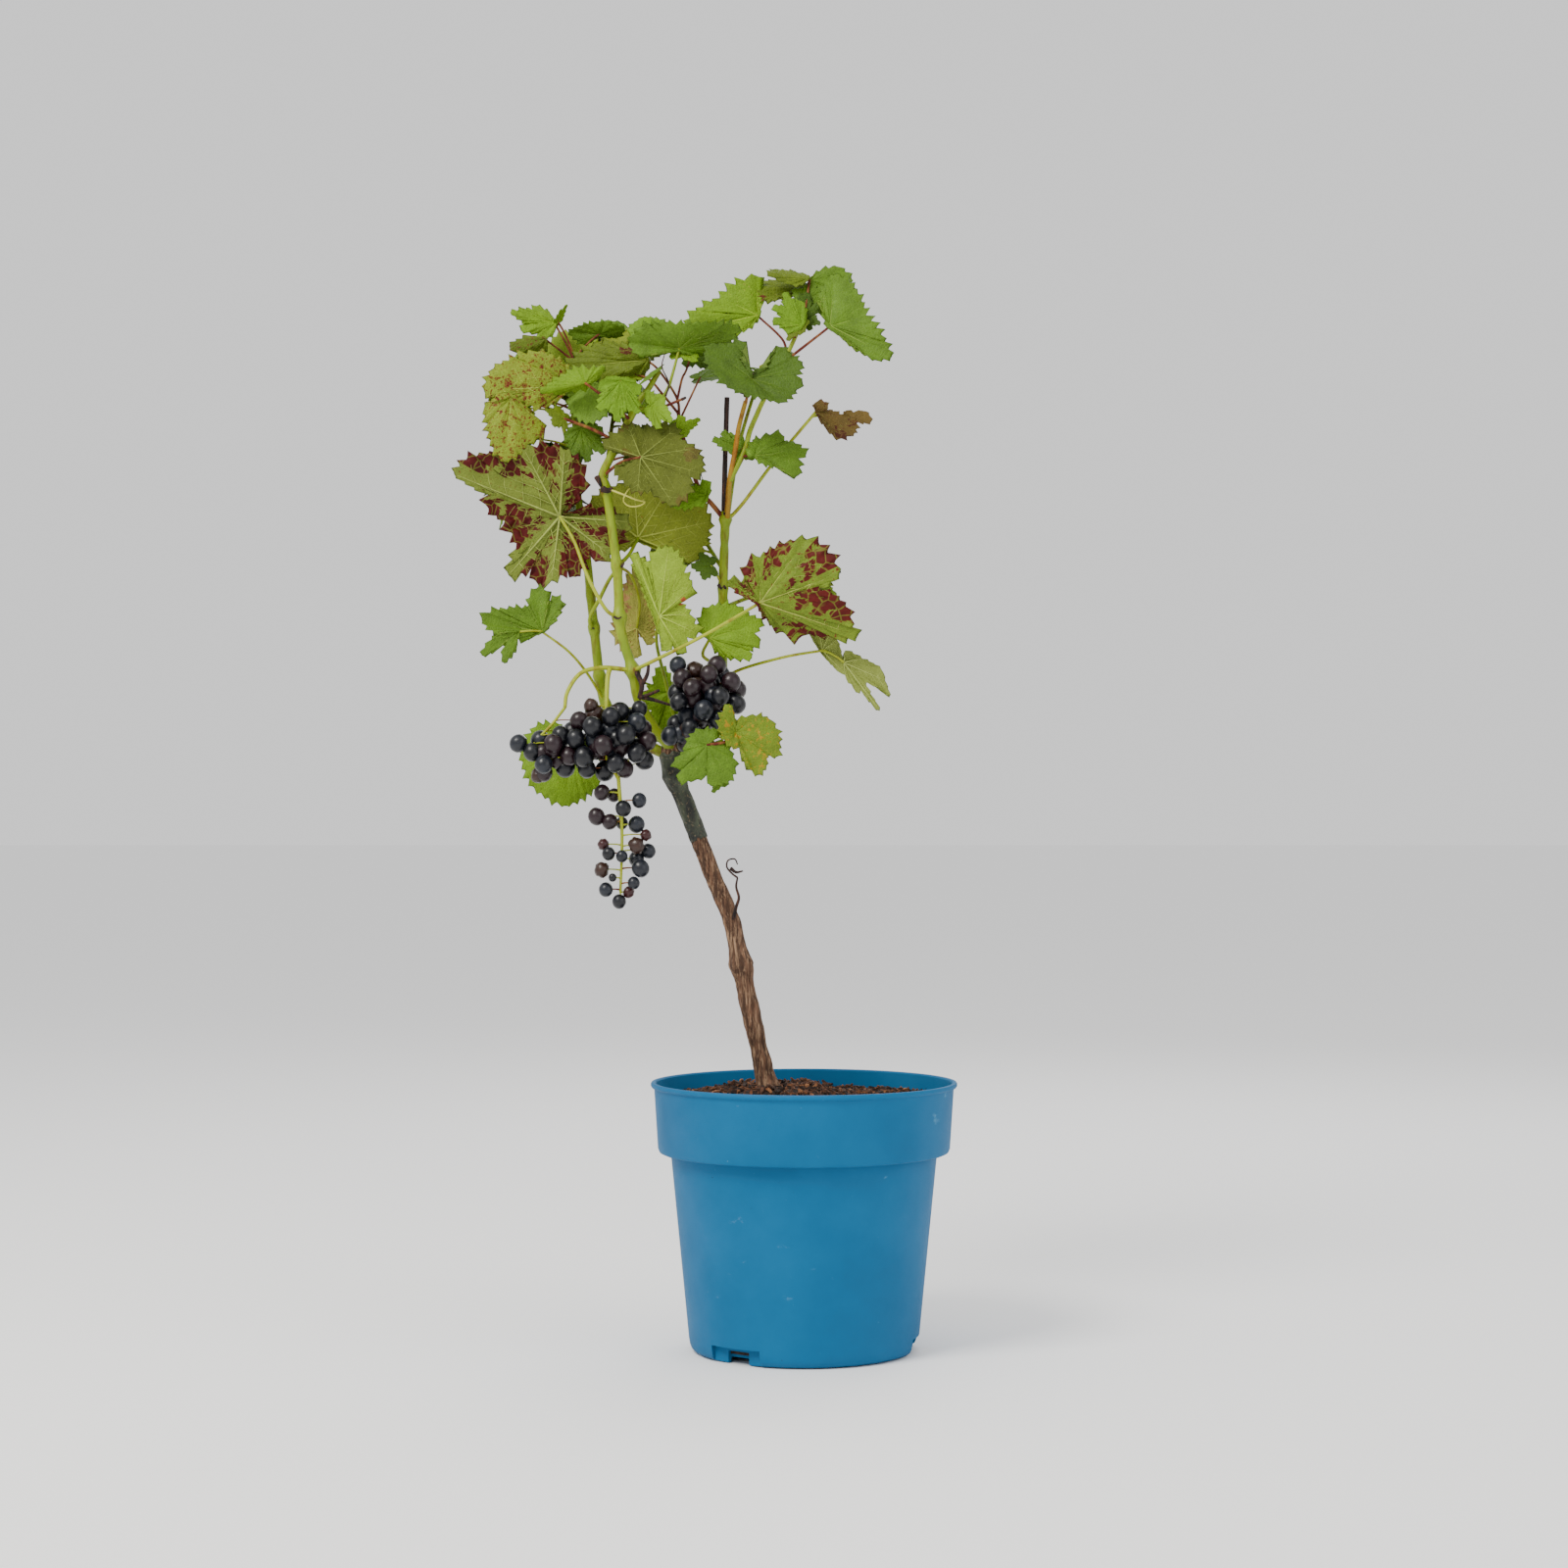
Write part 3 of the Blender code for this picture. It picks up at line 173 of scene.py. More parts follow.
def turn_profile(profile, steps):
    """A turned body, spun from a profile of (radius, height) points that is drawn by extrusion."""
    bpy.ops.object.select_all(action="DESELECT")
    bpy.ops.mesh.primitive_plane_add(size=MM, location=(0, 0, 0))
    bpy.ops.object.mode_set(mode="EDIT")
    bpy.ops.mesh.select_all(action="SELECT")
    bpy.ops.mesh.merge(type="CENTER")
    bpy.ops.transform.translate(value=(profile[0][0] * MM, 0, profile[0][1] * MM))
    for (r0, z0), (r1, z1) in zip(profile, profile[1:]):
        bpy.ops.mesh.extrude_region_move(
            TRANSFORM_OT_translate={"value": ((r1 - r0) * MM, 0, (z1 - z0) * MM)})
    bpy.ops.mesh.select_all(action="SELECT")
    bpy.ops.mesh.spin(steps=steps, angle=2 * math.pi, center=(0, 0, 0), axis=(0, 0, 1))
    bpy.ops.mesh.select_all(action="SELECT")
    bpy.ops.mesh.remove_doubles(threshold=1e-6)
    bpy.ops.mesh.dissolve_degenerate(threshold=1e-6)
    bpy.ops.mesh.normals_make_consistent(inside=False)
    bpy.ops.object.mode_set(mode="OBJECT")
    return bpy.context.object


def cut_away(piece, angle, wide, deep, high, radius):
    """Cuts a box out of the foot, its inner face at the radius, from 1 mm under the ground."""
    turn, middle = math.radians(angle), radius + deep / 2
    bpy.ops.object.select_all(action="DESELECT")
    bpy.ops.mesh.primitive_cube_add(
        size=1.0, rotation=(0, 0, turn), scale=(deep * MM, wide * MM, (high + 1) * MM),
        location=(middle * math.cos(turn) * MM, middle * math.sin(turn) * MM, (high - 1) / 2 * MM))
    box = bpy.context.object
    bpy.context.view_layer.objects.active = piece
    cut = piece.modifiers.new("cut", "BOOLEAN")
    cut.object, cut.operation, cut.solver = box, "DIFFERENCE", "EXACT"
    bpy.ops.object.modifier_apply(modifier="cut")
    bpy.data.objects.remove(box)


def wall_inside(z):
    """The radius inside the tapered wall at this height."""
    return BODY_FOOT + (BODY_TOP - BODY_FOOT) * (z - FOOT_LEVEL) / BODY_RISE - WALL


pot = turn_profile(
    [(0, 0), (52, 0), (54, 4), (76, 4), (77, 0), (79.5, 0), (82.5, 0.6), (84.6, 2.4), (85.6, 5),
     (BODY_FOOT, FOOT_LEVEL), (BODY_TOP, 146.4), (101, 147.2), (106.6, 147.3), (108.6, 148.2),
     (COLLAR_FOOT, 150.6), (112.4, 194.2), (COLLAR_TOP, 195.6), (114.2, 196.2), (115, 197.4),
     (115, 198.8), (114.4, 199.8), (113.4, 200), (111.8, 199.8), (111, 198.8), (110.8, 196),
     (COLLAR_FOOT - WALL, 150.5), (BODY_TOP - WALL, 150.5), (wall_inside(13.6), 13.6), (77.6, 13.6),
     (77.6, 6), (51, 6), (50, 2), (0, 2)], ROUND)
for angle in NOTCH_TURNS:
    cut_away(pot, angle, **NOTCH)
    cut_away(pot, angle, **SLOT)
set_down("nursery_pot", [pot_finish()], ["pot"])
bpy.ops.object.select_all(action="DESELECT")
pot.select_set(True)
bpy.ops.object.shade_smooth_by_angle(angle=math.radians(34))

# The compost. Loose, moist, dark bark and fibre, filled to just under the rim and heaped a little
# round the trunk. One body fills the pot, and loose bits of bark and fibre lie on it.
SOIL_EDGE, SOIL_HEAP, HEAP_RADIUS, SEAT_RADIUS = 187.0, 10.0, 70.0, 24.0
SOIL_RADIUS, SOIL_RINGS, RING_STEP, PLAY = 109.6, 50, 2.2, 0.3
TRUNK_FOOT = -25.0
BARK_BITS, FIBRES = 900, 1500
LITTER_RADIUS, LITTER_EDGE = 105, 107.5    # where the middle and the ends of a bit may lie
TRUNK_ROOM = 13                            # kept free round the trunk
EARTH, EARTH_DARK = (54, 33, 20), (24, 14, 9)
BARK_BIT, FIBRE = (98, 57, 30), (144, 96, 58)


def soil_level(x, y):
    """The height of the compost's lumpy surface, heaped round the trunk's foot."""
    away = math.hypot(x - TRUNK_FOOT, y)
    share = min(1.0, max(0.0, (away - SEAT_RADIUS) / (HEAP_RADIUS - SEAT_RADIUS)))
    heap = SOIL_HEAP * 0.5 * (1 + math.cos(math.pi * share))
    lump = noise.noise(Vector((x, y, 3)) / 14) * 3.4 + noise.noise(Vector((x, y, 8)) / 4) * 1.4
    return SOIL_EDGE + heap + lump * min(1.0, max(0.0, (away - 12) / 10)) - 0.4


def earth_finish(name, colour, dark):
    """Moist crumbs and fibre, rough all over."""
    return clouded_finish(name, colour, ((dark, 260.0, 0.3, 0.12),), (0.8, 0.98), 0.0004,
                          grain=(1500.0, 0.3, 0.25, 0.4))


soil = turn_profile(
    [(0, 2.3), (49.4, 2.3), (50.4, 6.3), (77.3, 6.3), (77.3, 13.9), (wall_inside(13.9) - PLAY, 13.9),
     (BODY_TOP - WALL - PLAY, 150.8), (COLLAR_FOOT - WALL - PLAY, 150.8)]
    + [(SOIL_RADIUS - RING_STEP * i, SOIL_EDGE) for i in range(SOIL_RINGS)] + [(0, SOIL_EDGE)], ROUND)
for corner in soil.data.vertices:
    if corner.co.z > (SOIL_EDGE - 1) * MM:
        corner.co.z = soil_level(corner.co.x / MM, corner.co.y / MM) * MM
soil.data.shade_smooth()
set_down("compost", [earth_finish("moist_compost", EARTH, EARTH_DARK)], ["soil"])


class Sheaf:
    """Many small bodies that become one piece: their corners, faces and finishes.

    The tints are those of the leaves among them.
    """

    def __init__(self, tints=()):
        self.corners, self.faces, self.finish_of = [], [], []
        self.tints = sorted(set(tints))

    def add(self, corners, faces, finish):
        start = len(self.corners)
        self.corners += [tuple(c) for c in corners]
        self.faces += [tuple(start + i for i in face) for face in faces]
        self.finish_of += finish if isinstance(finish, list) else [finish] * len(faces)

    def made(self, name, slot, finishes, replaced=(), smooth=True):
        mesh = bpy.data.meshes.new(name)
        mesh.from_pydata(self.corners, [], self.faces)
        mesh.polygons.foreach_set("material_index", self.finish_of)
        if smooth:
            mesh.shade_smooth()
        piece = bpy.data.objects.new(name, mesh)
        bpy.context.scene.collection.objects.link(piece)
        bpy.context.view_layer.objects.active = piece
        return set_down(name, finishes, replaced)


def turns_of(sides):
    """Equal turns round a circle."""
    return [2 * math.pi * k / sides for k in range(sides)]


def frames_along(places, side):
    """At each place of a line, two directions square to the line and each other, without a twist."""
    frames = []
    for before, after in zip(places[:1] + places[:-1], places[1:] + places[-1:]):
        along = (after - before).normalized()
        side = (side - along * side.dot(along)).normalized()
        frames.append((side, along.cross(side)))
    return frames


def ring_faces(rings, sides):
    """The faces of a body whose corners are one point, then the rings, then one point more."""
    first, last = 1, 1 + (rings - 1) * sides
    faces = [(0, first + (k + 1) % sides, first + k) for k in range(sides)]
    for low in range(first, last, sides):
        faces += [(low + k, low + (k + 1) % sides, low + sides + (k + 1) % sides, low + sides + k)
                  for k in range(sides)]
    return faces + [(last + k, last + (k + 1) % sides, last + sides) for k in range(sides)]


def sweep(sheaf, line, sides, finish):
    """A round stem along (place, radius) points, closed at both ends by a shallow point."""
    places = [Vector(place) for place, _ in line]
    start, end = places[1] - places[0], places[-1] - places[-2]
    corners = [places[0] - start.normalized() * line[0][1] * 0.5]
    frames = frames_along(places, start.orthogonal().normalized())
    for place, (side, other), (_, radius) in zip(places, frames, line):
        corners += [place + (side * math.cos(a) + other * math.sin(a)) * radius for a in turns_of(sides)]
    corners.append(places[-1] + end.normalized() * line[-1][1] * 0.5)
    sheaf.add(corners, ring_faces(len(line), sides), finish)


litter = Sheaf()
scatter = random.Random("compost")
for bit in range(BARK_BITS + FIBRES):
    turn, away = scatter.uniform(0, 2 * math.pi), LITTER_RADIUS * math.sqrt(scatter.random())
    x, y = away * math.cos(turn), away * math.sin(turn)
    if math.hypot(x - TRUNK_FOOT, y) < TRUNK_ROOM:
        continue
    heading = scatter.uniform(0, 2 * math.pi)
    fibre = bit >= BARK_BITS
    reach = scatter.uniform(5, 17) if fibre else scatter.uniform(2.5, 9)
    thick = scatter.uniform(0.25, 0.5) if fibre else scatter.uniform(0.7, 2.0)
    line = []
    for k in range(4):
        is_end = k in (0, 3)
        bend = scatter.uniform(-1, 1) * (0.9 if fibre else 0.25)
        px = x + math.cos(heading) * reach * (k / 3 - 0.5) - math.sin(heading) * bend
        py = y + math.sin(heading) * reach * (k / 3 - 0.5) + math.cos(heading) * bend
        fit = min(1.0, LITTER_EDGE / max(1.0, math.hypot(px, py)))
        px, py = px * fit, py * fit
        up = soil_level(px, py) + thick * 0.5 + (scatter.uniform(0, 2.4) if is_end else 0.3)
        line.append((Vector((px, py, up)) * MM, thick * MM * (0.6 if is_end else 1)))
    sweep(litter, line, 3 if fibre else 4, scatter.choice((0, 0, 1, 2)))
litter.made("bark_litter", "soil",
            [earth_finish("bark_bit", BARK_BIT, EARTH), earth_finish("bark_dark", EARTH, EARTH_DARK),
             earth_finish("pale_fibre", FIBRE, BARK_BIT)], smooth=False)

# The trunk. A young vine's woody stem, 12 to 19 mm thick, that leans to the left out of the compost:
# brown fibrous bark that peels in strips, a flare at the ground, a knob half way up, and the graft
# with the swollen head where the canes fork. It grows up out of the compost.
EYE = Vector((-15.0, -2157.0, 391.0))      # where the plant is seen from
TRUNK = dict(
    route=((-25, 185, 0), (-30, 208, 0), (-40, 252, 0), (-50, 301, 0), (-56, 325, 0), (-68, 353, 0),
           (-88, 406, 0), (-96, 426, 0), (-100, 448, 0), (-101, 462, 0)),
    root=7.4, tip=5.6, spread=13.0,
    swellings=((194, 1.35), (226, 0.82), (288, 1.4), (430, 1.6), (444, 1.55)),
)
BARK, BARK_DARK, BARK_GREY = (116, 80, 55), (64, 42, 28), (150, 120, 92)


def drawn(x, z, y):
    """The point, in metres, that reads as (x, z) on the front drawing and lies y behind it."""
    spread = 1.0 + y / -EYE.y
    return Vector((EYE.x + (x - EYE.x) * spread, y, EYE.z + (z - EYE.z) * spread)) * MM


def rounded(points, step):
    """Points close together on a smooth curve through the given ones, each a tuple of numbers."""
    points = [np.array(point, float) for point in points]
    ends = [2 * points[0] - points[1], *points, 2 * points[-1] - points[-2]]
    line = []
    for p0, p1, p2, p3 in zip(ends, ends[1:], ends[2:], ends[3:]):
        count = max(1, round(float(np.linalg.norm((p2 - p1)[:3])) / step))
        for t in (k / count for k in range(count)):
            line.append(0.5 * (2 * p1 + (p2 - p0) * t + (2 * p0 - 5 * p1 + 4 * p2 - p3) * t * t
                               + (3 * p1 - p0 - 3 * p2 + p3) * t ** 3))
    return line + [points[-1]]


def limb_line(limb, step):
    """A limb's centre line as (x, z, y, radius) points, from root to tip, with its swellings."""
    foot, top = limb["route"][0][1], limb["route"][-1][1]
    line = []
    for x, z, y in rounded(limb["route"], step):
        share = min(1.0, max(0.0, (z - foot) / (top - foot)))
        even = limb["root"] + (limb["tip"] - limb["root"]) * share
        swell = 1.0 + sum((much - 1) * max(0.0, 1 - abs(z - at) / limb["spread"]) ** 1.3
                          for at, much in limb["swellings"])
        line.append((x, z, y, even * swell))
    return line


def shape_limb(line, sides, relief):
    """A cylinder cut into rings, each then set on the limb's line with the bark's relief on it."""
    bpy.ops.object.select_all(action="DESELECT")
    bpy.ops.mesh.primitive_cylinder_add(vertices=sides, radius=1.0, depth=1.0, end_fill_type="TRIFAN")
    limb = bpy.context.object
    bpy.ops.object.mode_set(mode="EDIT")
    bpy.ops.mesh.select_all(action="DESELECT")
    work = bmesh.from_edit_mesh(limb.data)
    for edge in work.edges:
        edge.select_set(abs(edge.verts[0].co.z - edge.verts[1].co.z) > 0.5)
    bmesh.update_edit_mesh(limb.data)
    bpy.ops.mesh.subdivide(number_cuts=len(line) - 2)
    bpy.ops.object.mode_set(mode="OBJECT")
    places = [drawn(x, z, y) for x, z, y, _ in line]
    frames = frames_along(places, Vector((1, 0, 0)))
    for corner in limb.data.vertices:
        i = round((corner.co.z + 0.5) * (len(line) - 1))
        turn, flat = math.atan2(corner.co.y, corner.co.x), math.hypot(corner.co.x, corner.co.y)
        radius = (line[i][3] + relief(turn, line[i][1]) * flat) * MM * flat
        side, other = frames[i]
        corner.co = places[i] + (side * math.cos(turn) + other * math.sin(turn)) * radius
    limb.data.shade_smooth()
    return limb


def fibrous(turn, level):
    """Bark in strips that run up the trunk and part, lift and flake."""
    ring = Vector((math.cos(turn) * 2.6, math.sin(turn) * 2.6, level / 26))
    strips = noise.noise(ring * 1.9) * 0.9 + noise.noise(ring * 4.2) * 0.5
    crack = -1.1 * max(0.0, 0.12 - abs(noise.noise(ring * 1.3 + Vector((7, 0, 0))))) / 0.12
    return 0.7 * strips + 0.8 * crack + 0.6 * noise.noise(Vector((ring.x, ring.y, level / 7)))


def bark_finish(name, colour, dark, grey, scale):
    """Dark strips and pale flakes, drawn out along the stem."""
    strips, flakes = (dark, scale, 0.3, 0.1, 0.09), (grey, scale * 1.7, 0.17, 0.08, 0.1)
    return clouded_finish(name, colour, (strips, flakes), (0.72, 0.95), 0.0005,
                          grain=(scale * 6, 0.25, 0.3, 0.1))


shape_limb(limb_line(TRUNK, 1.3), 72, fibrous)
set_down("woody_trunk", [bark_finish("trunk_bark", BARK, BARK_DARK, BARK_GREY, 340.0)], ["trunk"])

# The graft wax. A thin coat of grey-green wax brushed over the graft union, below the head, now
# cracked open along the bark and darker at its upper edge.
WAX_FROM, WAX_TO, WAX_COAT = 382.0, 448.0, 0.9
WAX_GREEN, WAX_DARK, WAX_GRIT = (62, 70, 46), (20, 23, 18), (140, 120, 90)


def brushed(turn, level):
    """The wax's relief: ragged at both edges, cracked, with the bark showing through."""
    edge = min(1.0, (level - WAX_FROM) / 4, (WAX_TO - level) / 3)
    ragged = edge + noise.noise(Vector((math.cos(turn) * 2, math.sin(turn) * 2, level / 5))) * 0.9
    crack = max(0.0, 0.1 - abs(noise.noise(Vector((turn * 1.1, level / 30, 4))))) * 9
    return -1.6 * max(0.0, 0.55 - ragged) - 0.7 * crack + fibrous(turn, level) * 0.45


wax_line = [(x, z, y, radius + WAX_COAT) for x, z, y, radius in limb_line(TRUNK, 0.9)
            if WAX_FROM - 1 < z < WAX_TO + 1]
shape_limb(wax_line, 60, brushed)
wax_layers = ((WAX_DARK, 120.0, 0.32, 0.15, 0.4), (WAX_GRIT, 500.0, 0.08, 0.1))
wax = clouded_finish("grafting_wax", WAX_GREEN, wax_layers, (0.42, 0.7), 0.0003)
set_down("wax_coat", [wax], ["graft_wax"])

# The canes. Three green shoots of this year, 5 to 9 mm thick, that rise from the head, each bent a
# little at every swollen joint where a leaf, bunch or tendril stands. One dead, dark shoot stands on
# the right cane's top.
CANES = {
    "cane_left": dict(
        route=((-100, 444, 2), (-120, 454, 6), (-137, 466, 10), (-149, 483, 13), (-154, 505, 13),
               (-158, 541, 10), (-165, 606, 10), (-171, 645, 10), (-174, 672, 12)),
        root=4.2, tip=2.5, spread=7.0,
        swellings=((483, 1.15), (505, 1.4), (541, 1.5), (566, 1.2), (645, 1.15))),
    "cane_middle": dict(
        route=((-100, 450, -3), (-113, 466, -9), (-125, 488, -14), (-129, 509, -16), (-138, 540, -17),
               (-141, 587, -18), (-149, 645, -21), (-152, 656, -21), (-142, 677, -22), (-134, 694, -22)),
        root=4.0, tip=3.0, spread=8.0,
        swellings=((509, 1.75), (549, 1.8), (588, 1.45), (645, 1.45))),
    "cane_right": dict(
        route=((-96, 444, 1), (-83, 456, 5), (-70, 476, 8), (-62, 502, 9), (-61, 571, 5), (-59, 629, 0)),
        root=3.8, tip=3.4, spread=6.0,
        swellings=((502, 0.95), (530, 0.72), (571, 1.2), (604, 0.85), (623, 1.6))),
}
DEAD_TIP = dict(route=((-60, 622, 3), (-60, 644, 7), (-58, 715, 9)), root=2.0, tip=1.9, spread=5.0,
                swellings=((680, 1.15),))
CANE_STEP = 1.6                  # from one ring of a cane to the next
CANE_GREEN, CANE_YELLOW, CANE_RED = (96, 124, 14), (134, 150, 26), (96, 62, 24)


def ribbed(turn, level):
    """Fine ribs along a young shoot."""
    place = Vector((math.cos(turn), math.sin(turn), level / 11))
    return 0.09 * math.sin(turn * 9) + 0.16 * noise.noise(place * 1.4)


def shoot_finish(name, colour, pale, rust, share):
    """Green skin with paler streaks, and rust over this share of it, rough where it is rusty."""
    streaks, rusty = (pale, 90.0, 0.3, 0.2, 0.2), (rust, 150.0, share, 0.12, 0.35)
    return clouded_finish(name, colour, (streaks, rusty), (0.45, 0.75), 0.00015,
                          grain=(900.0, 0.25, 0.3, 0.12), worn=1, Specular_IOR_Level=0.25)


GREEN_SHOOT = shoot_finish("green_shoot", CANE_GREEN, CANE_YELLOW, CANE_RED, 0.12)
for limb_name, limb in CANES.items():
    shape_limb(limb_line(limb, CANE_STEP), 28, ribbed)
    set_down(limb_name + "_bark", [GREEN_SHOOT], [limb_name])
shape_limb(limb_line(DEAD_TIP, CANE_STEP), 12, ribbed)
DEAD_WOOD = bark_finish("dead_wood", (56, 26, 18), (22, 11, 9), (84, 48, 32), 300.0)
set_down("dead_shoot", [DEAD_WOOD], ["dead_tip"])

# The leaves. Thin soft blades of three to five toothed lobes on long stalks, light green to dark
# olive, some turning yellow or maroon between their pale veins, one dry and brown. Each spray grows
# from a joint of its cane. Its blades are one piece, its shoots and stalks a second.
LOBES = ((-118, 0.58), (-58, 0.86), (0, 1.0), (58, 0.86), (118, 0.58))     # angle, share of the middle
SINUS, SINUS_FROM = 0.68, math.radians(24)    # reach of the cut between lobes that stand this far apart
STALK_NOTCH = 0.12               # and of the notch behind the stalk
TOOTH = 6.6                      # from one tooth of the margin to the next
TOOTH_RISING = ((0, 0), (0.36, 0.5), (0.7, 1.0), (0.84, 0.3))
TOOTH_FALLING = ((0, 0), (0.16, 0.3), (0.3, 1.0), (0.64, 0.5))
VEINS, VEINS_APART = 7, math.radians(25)      # the most main veins, and the least angle between two
VEIN_ROOM = math.radians(29)     # from a main vein to half way to the next
VEIN_THICK, SIDE_VEIN_THICK = 0.0135, 0.0048  # radius as a share of the leaf's reach
VEIN_LEAST, VEIN_SUNK, VEIN_END = 0.16, 0.08, 0.97
SIDE_VEINS_FROM = (0.18, 0.34, 0.5, 0.65, 0.79)
SIDE_VEIN_ON, SIDE_VEIN_OUT = 0.62, 0.72      # its heading, along the main vein and away from it
BLADE_THICKNESS = 0.4
RINGS = (0.1, 0.22, 0.35, 0.48, 0.6, 0.71, 0.81, 0.9, 0.96, 1.0)
FINE_RINGS = tuple(0.06 + 0.94 * k / 24 for k in range(25))
FEW_RINGS = (0.5, 1.0)           # for the many young leaves
STEM_STEP = 2.5                  # from one ring of a stalk or shoot to the next
TINTS = {                        # upper side, underside, veins, marks between the veins
    "bright": ((112, 148, 17), (132, 150, 43), (152, 176, 53), None),
    "vivid": ((102, 141, 16), (124, 150, 43), (136, 168, 45), None),
    "mid": ((89, 123, 25), (110, 133, 44), (126, 151, 60), None),
    "deep": ((68, 96, 17), (90, 112, 39), (98, 122, 43), None),
    "olive": ((94, 112, 17), (108, 122, 41), (126, 140, 51), ("spots", (96, 48, 20), 0.6)),
    "bluish": ((106, 142, 39), (122, 148, 61), (146, 172, 75), None),
    "light": ((130, 156, 29), (130, 156, 39), (164, 184, 71), ("spots", (190, 96, 49), 0.6)),
    "speckled": ((128, 145, 34), (138, 152, 50), (158, 172, 66), ("specks", (92, 22, 14), 0.17)),
    "spotted": ((88, 106, 17), (112, 128, 43), (136, 148, 51), ("specks", (84, 32, 12), 0.14)),
    "grey": ((76, 90, 22), (84, 93, 24), (122, 133, 58), ("spots", (92, 84, 26), 0.32)),
    "ashen": ((120, 136, 50), (126, 138, 60), (160, 172, 90), None),
    "yellow": ((122, 138, 25), (134, 146, 43), (176, 186, 79), ("specks", (140, 48, 26), 0.05)),
    "yellowing": ((104, 126, 22), (122, 138, 40), (136, 154, 54), ("specks", (150, 116, 20), 0.14)),
    "pinkish": ((150, 152, 52), (158, 156, 68), (184, 180, 87), ("flush", (184, 138, 86), -0.5)),
    "flaming": ((104, 120, 33), (108, 122, 42), (146, 158, 76), ("flush", (84, 12, 10), 0.32)),
    "maroon": ((108, 130, 30), (112, 130, 40), (158, 166, 75), ("flush", (92, 18, 12), 0.2)),
    "dry": ((100, 80, 32), (104, 82, 40), (150, 148, 74), ("flush", (78, 36, 18), -0.2)),
}
STALK_FINISHES = [
    GREEN_SHOOT,
    shoot_finish("green_stalk", (132, 146, 22), (160, 168, 40), (120, 84, 24), 0.12),
    shoot_finish("red_stalk", (118, 52, 26), (140, 100, 34), (84, 26, 18), 0.3),
    DEAD_WOOD,
    shoot_finish("rusty_stalk", (160, 92, 14), (134, 120, 24), (96, 44, 14), 0.2),
    shoot_finish("tendril", (176, 178, 62), (186, 184, 88), (150, 150, 50), 0.1)]
SHOOT, GREEN_STALK, RED_STALK, DEAD, RUSTY_STALK, TENDRIL = range(6)
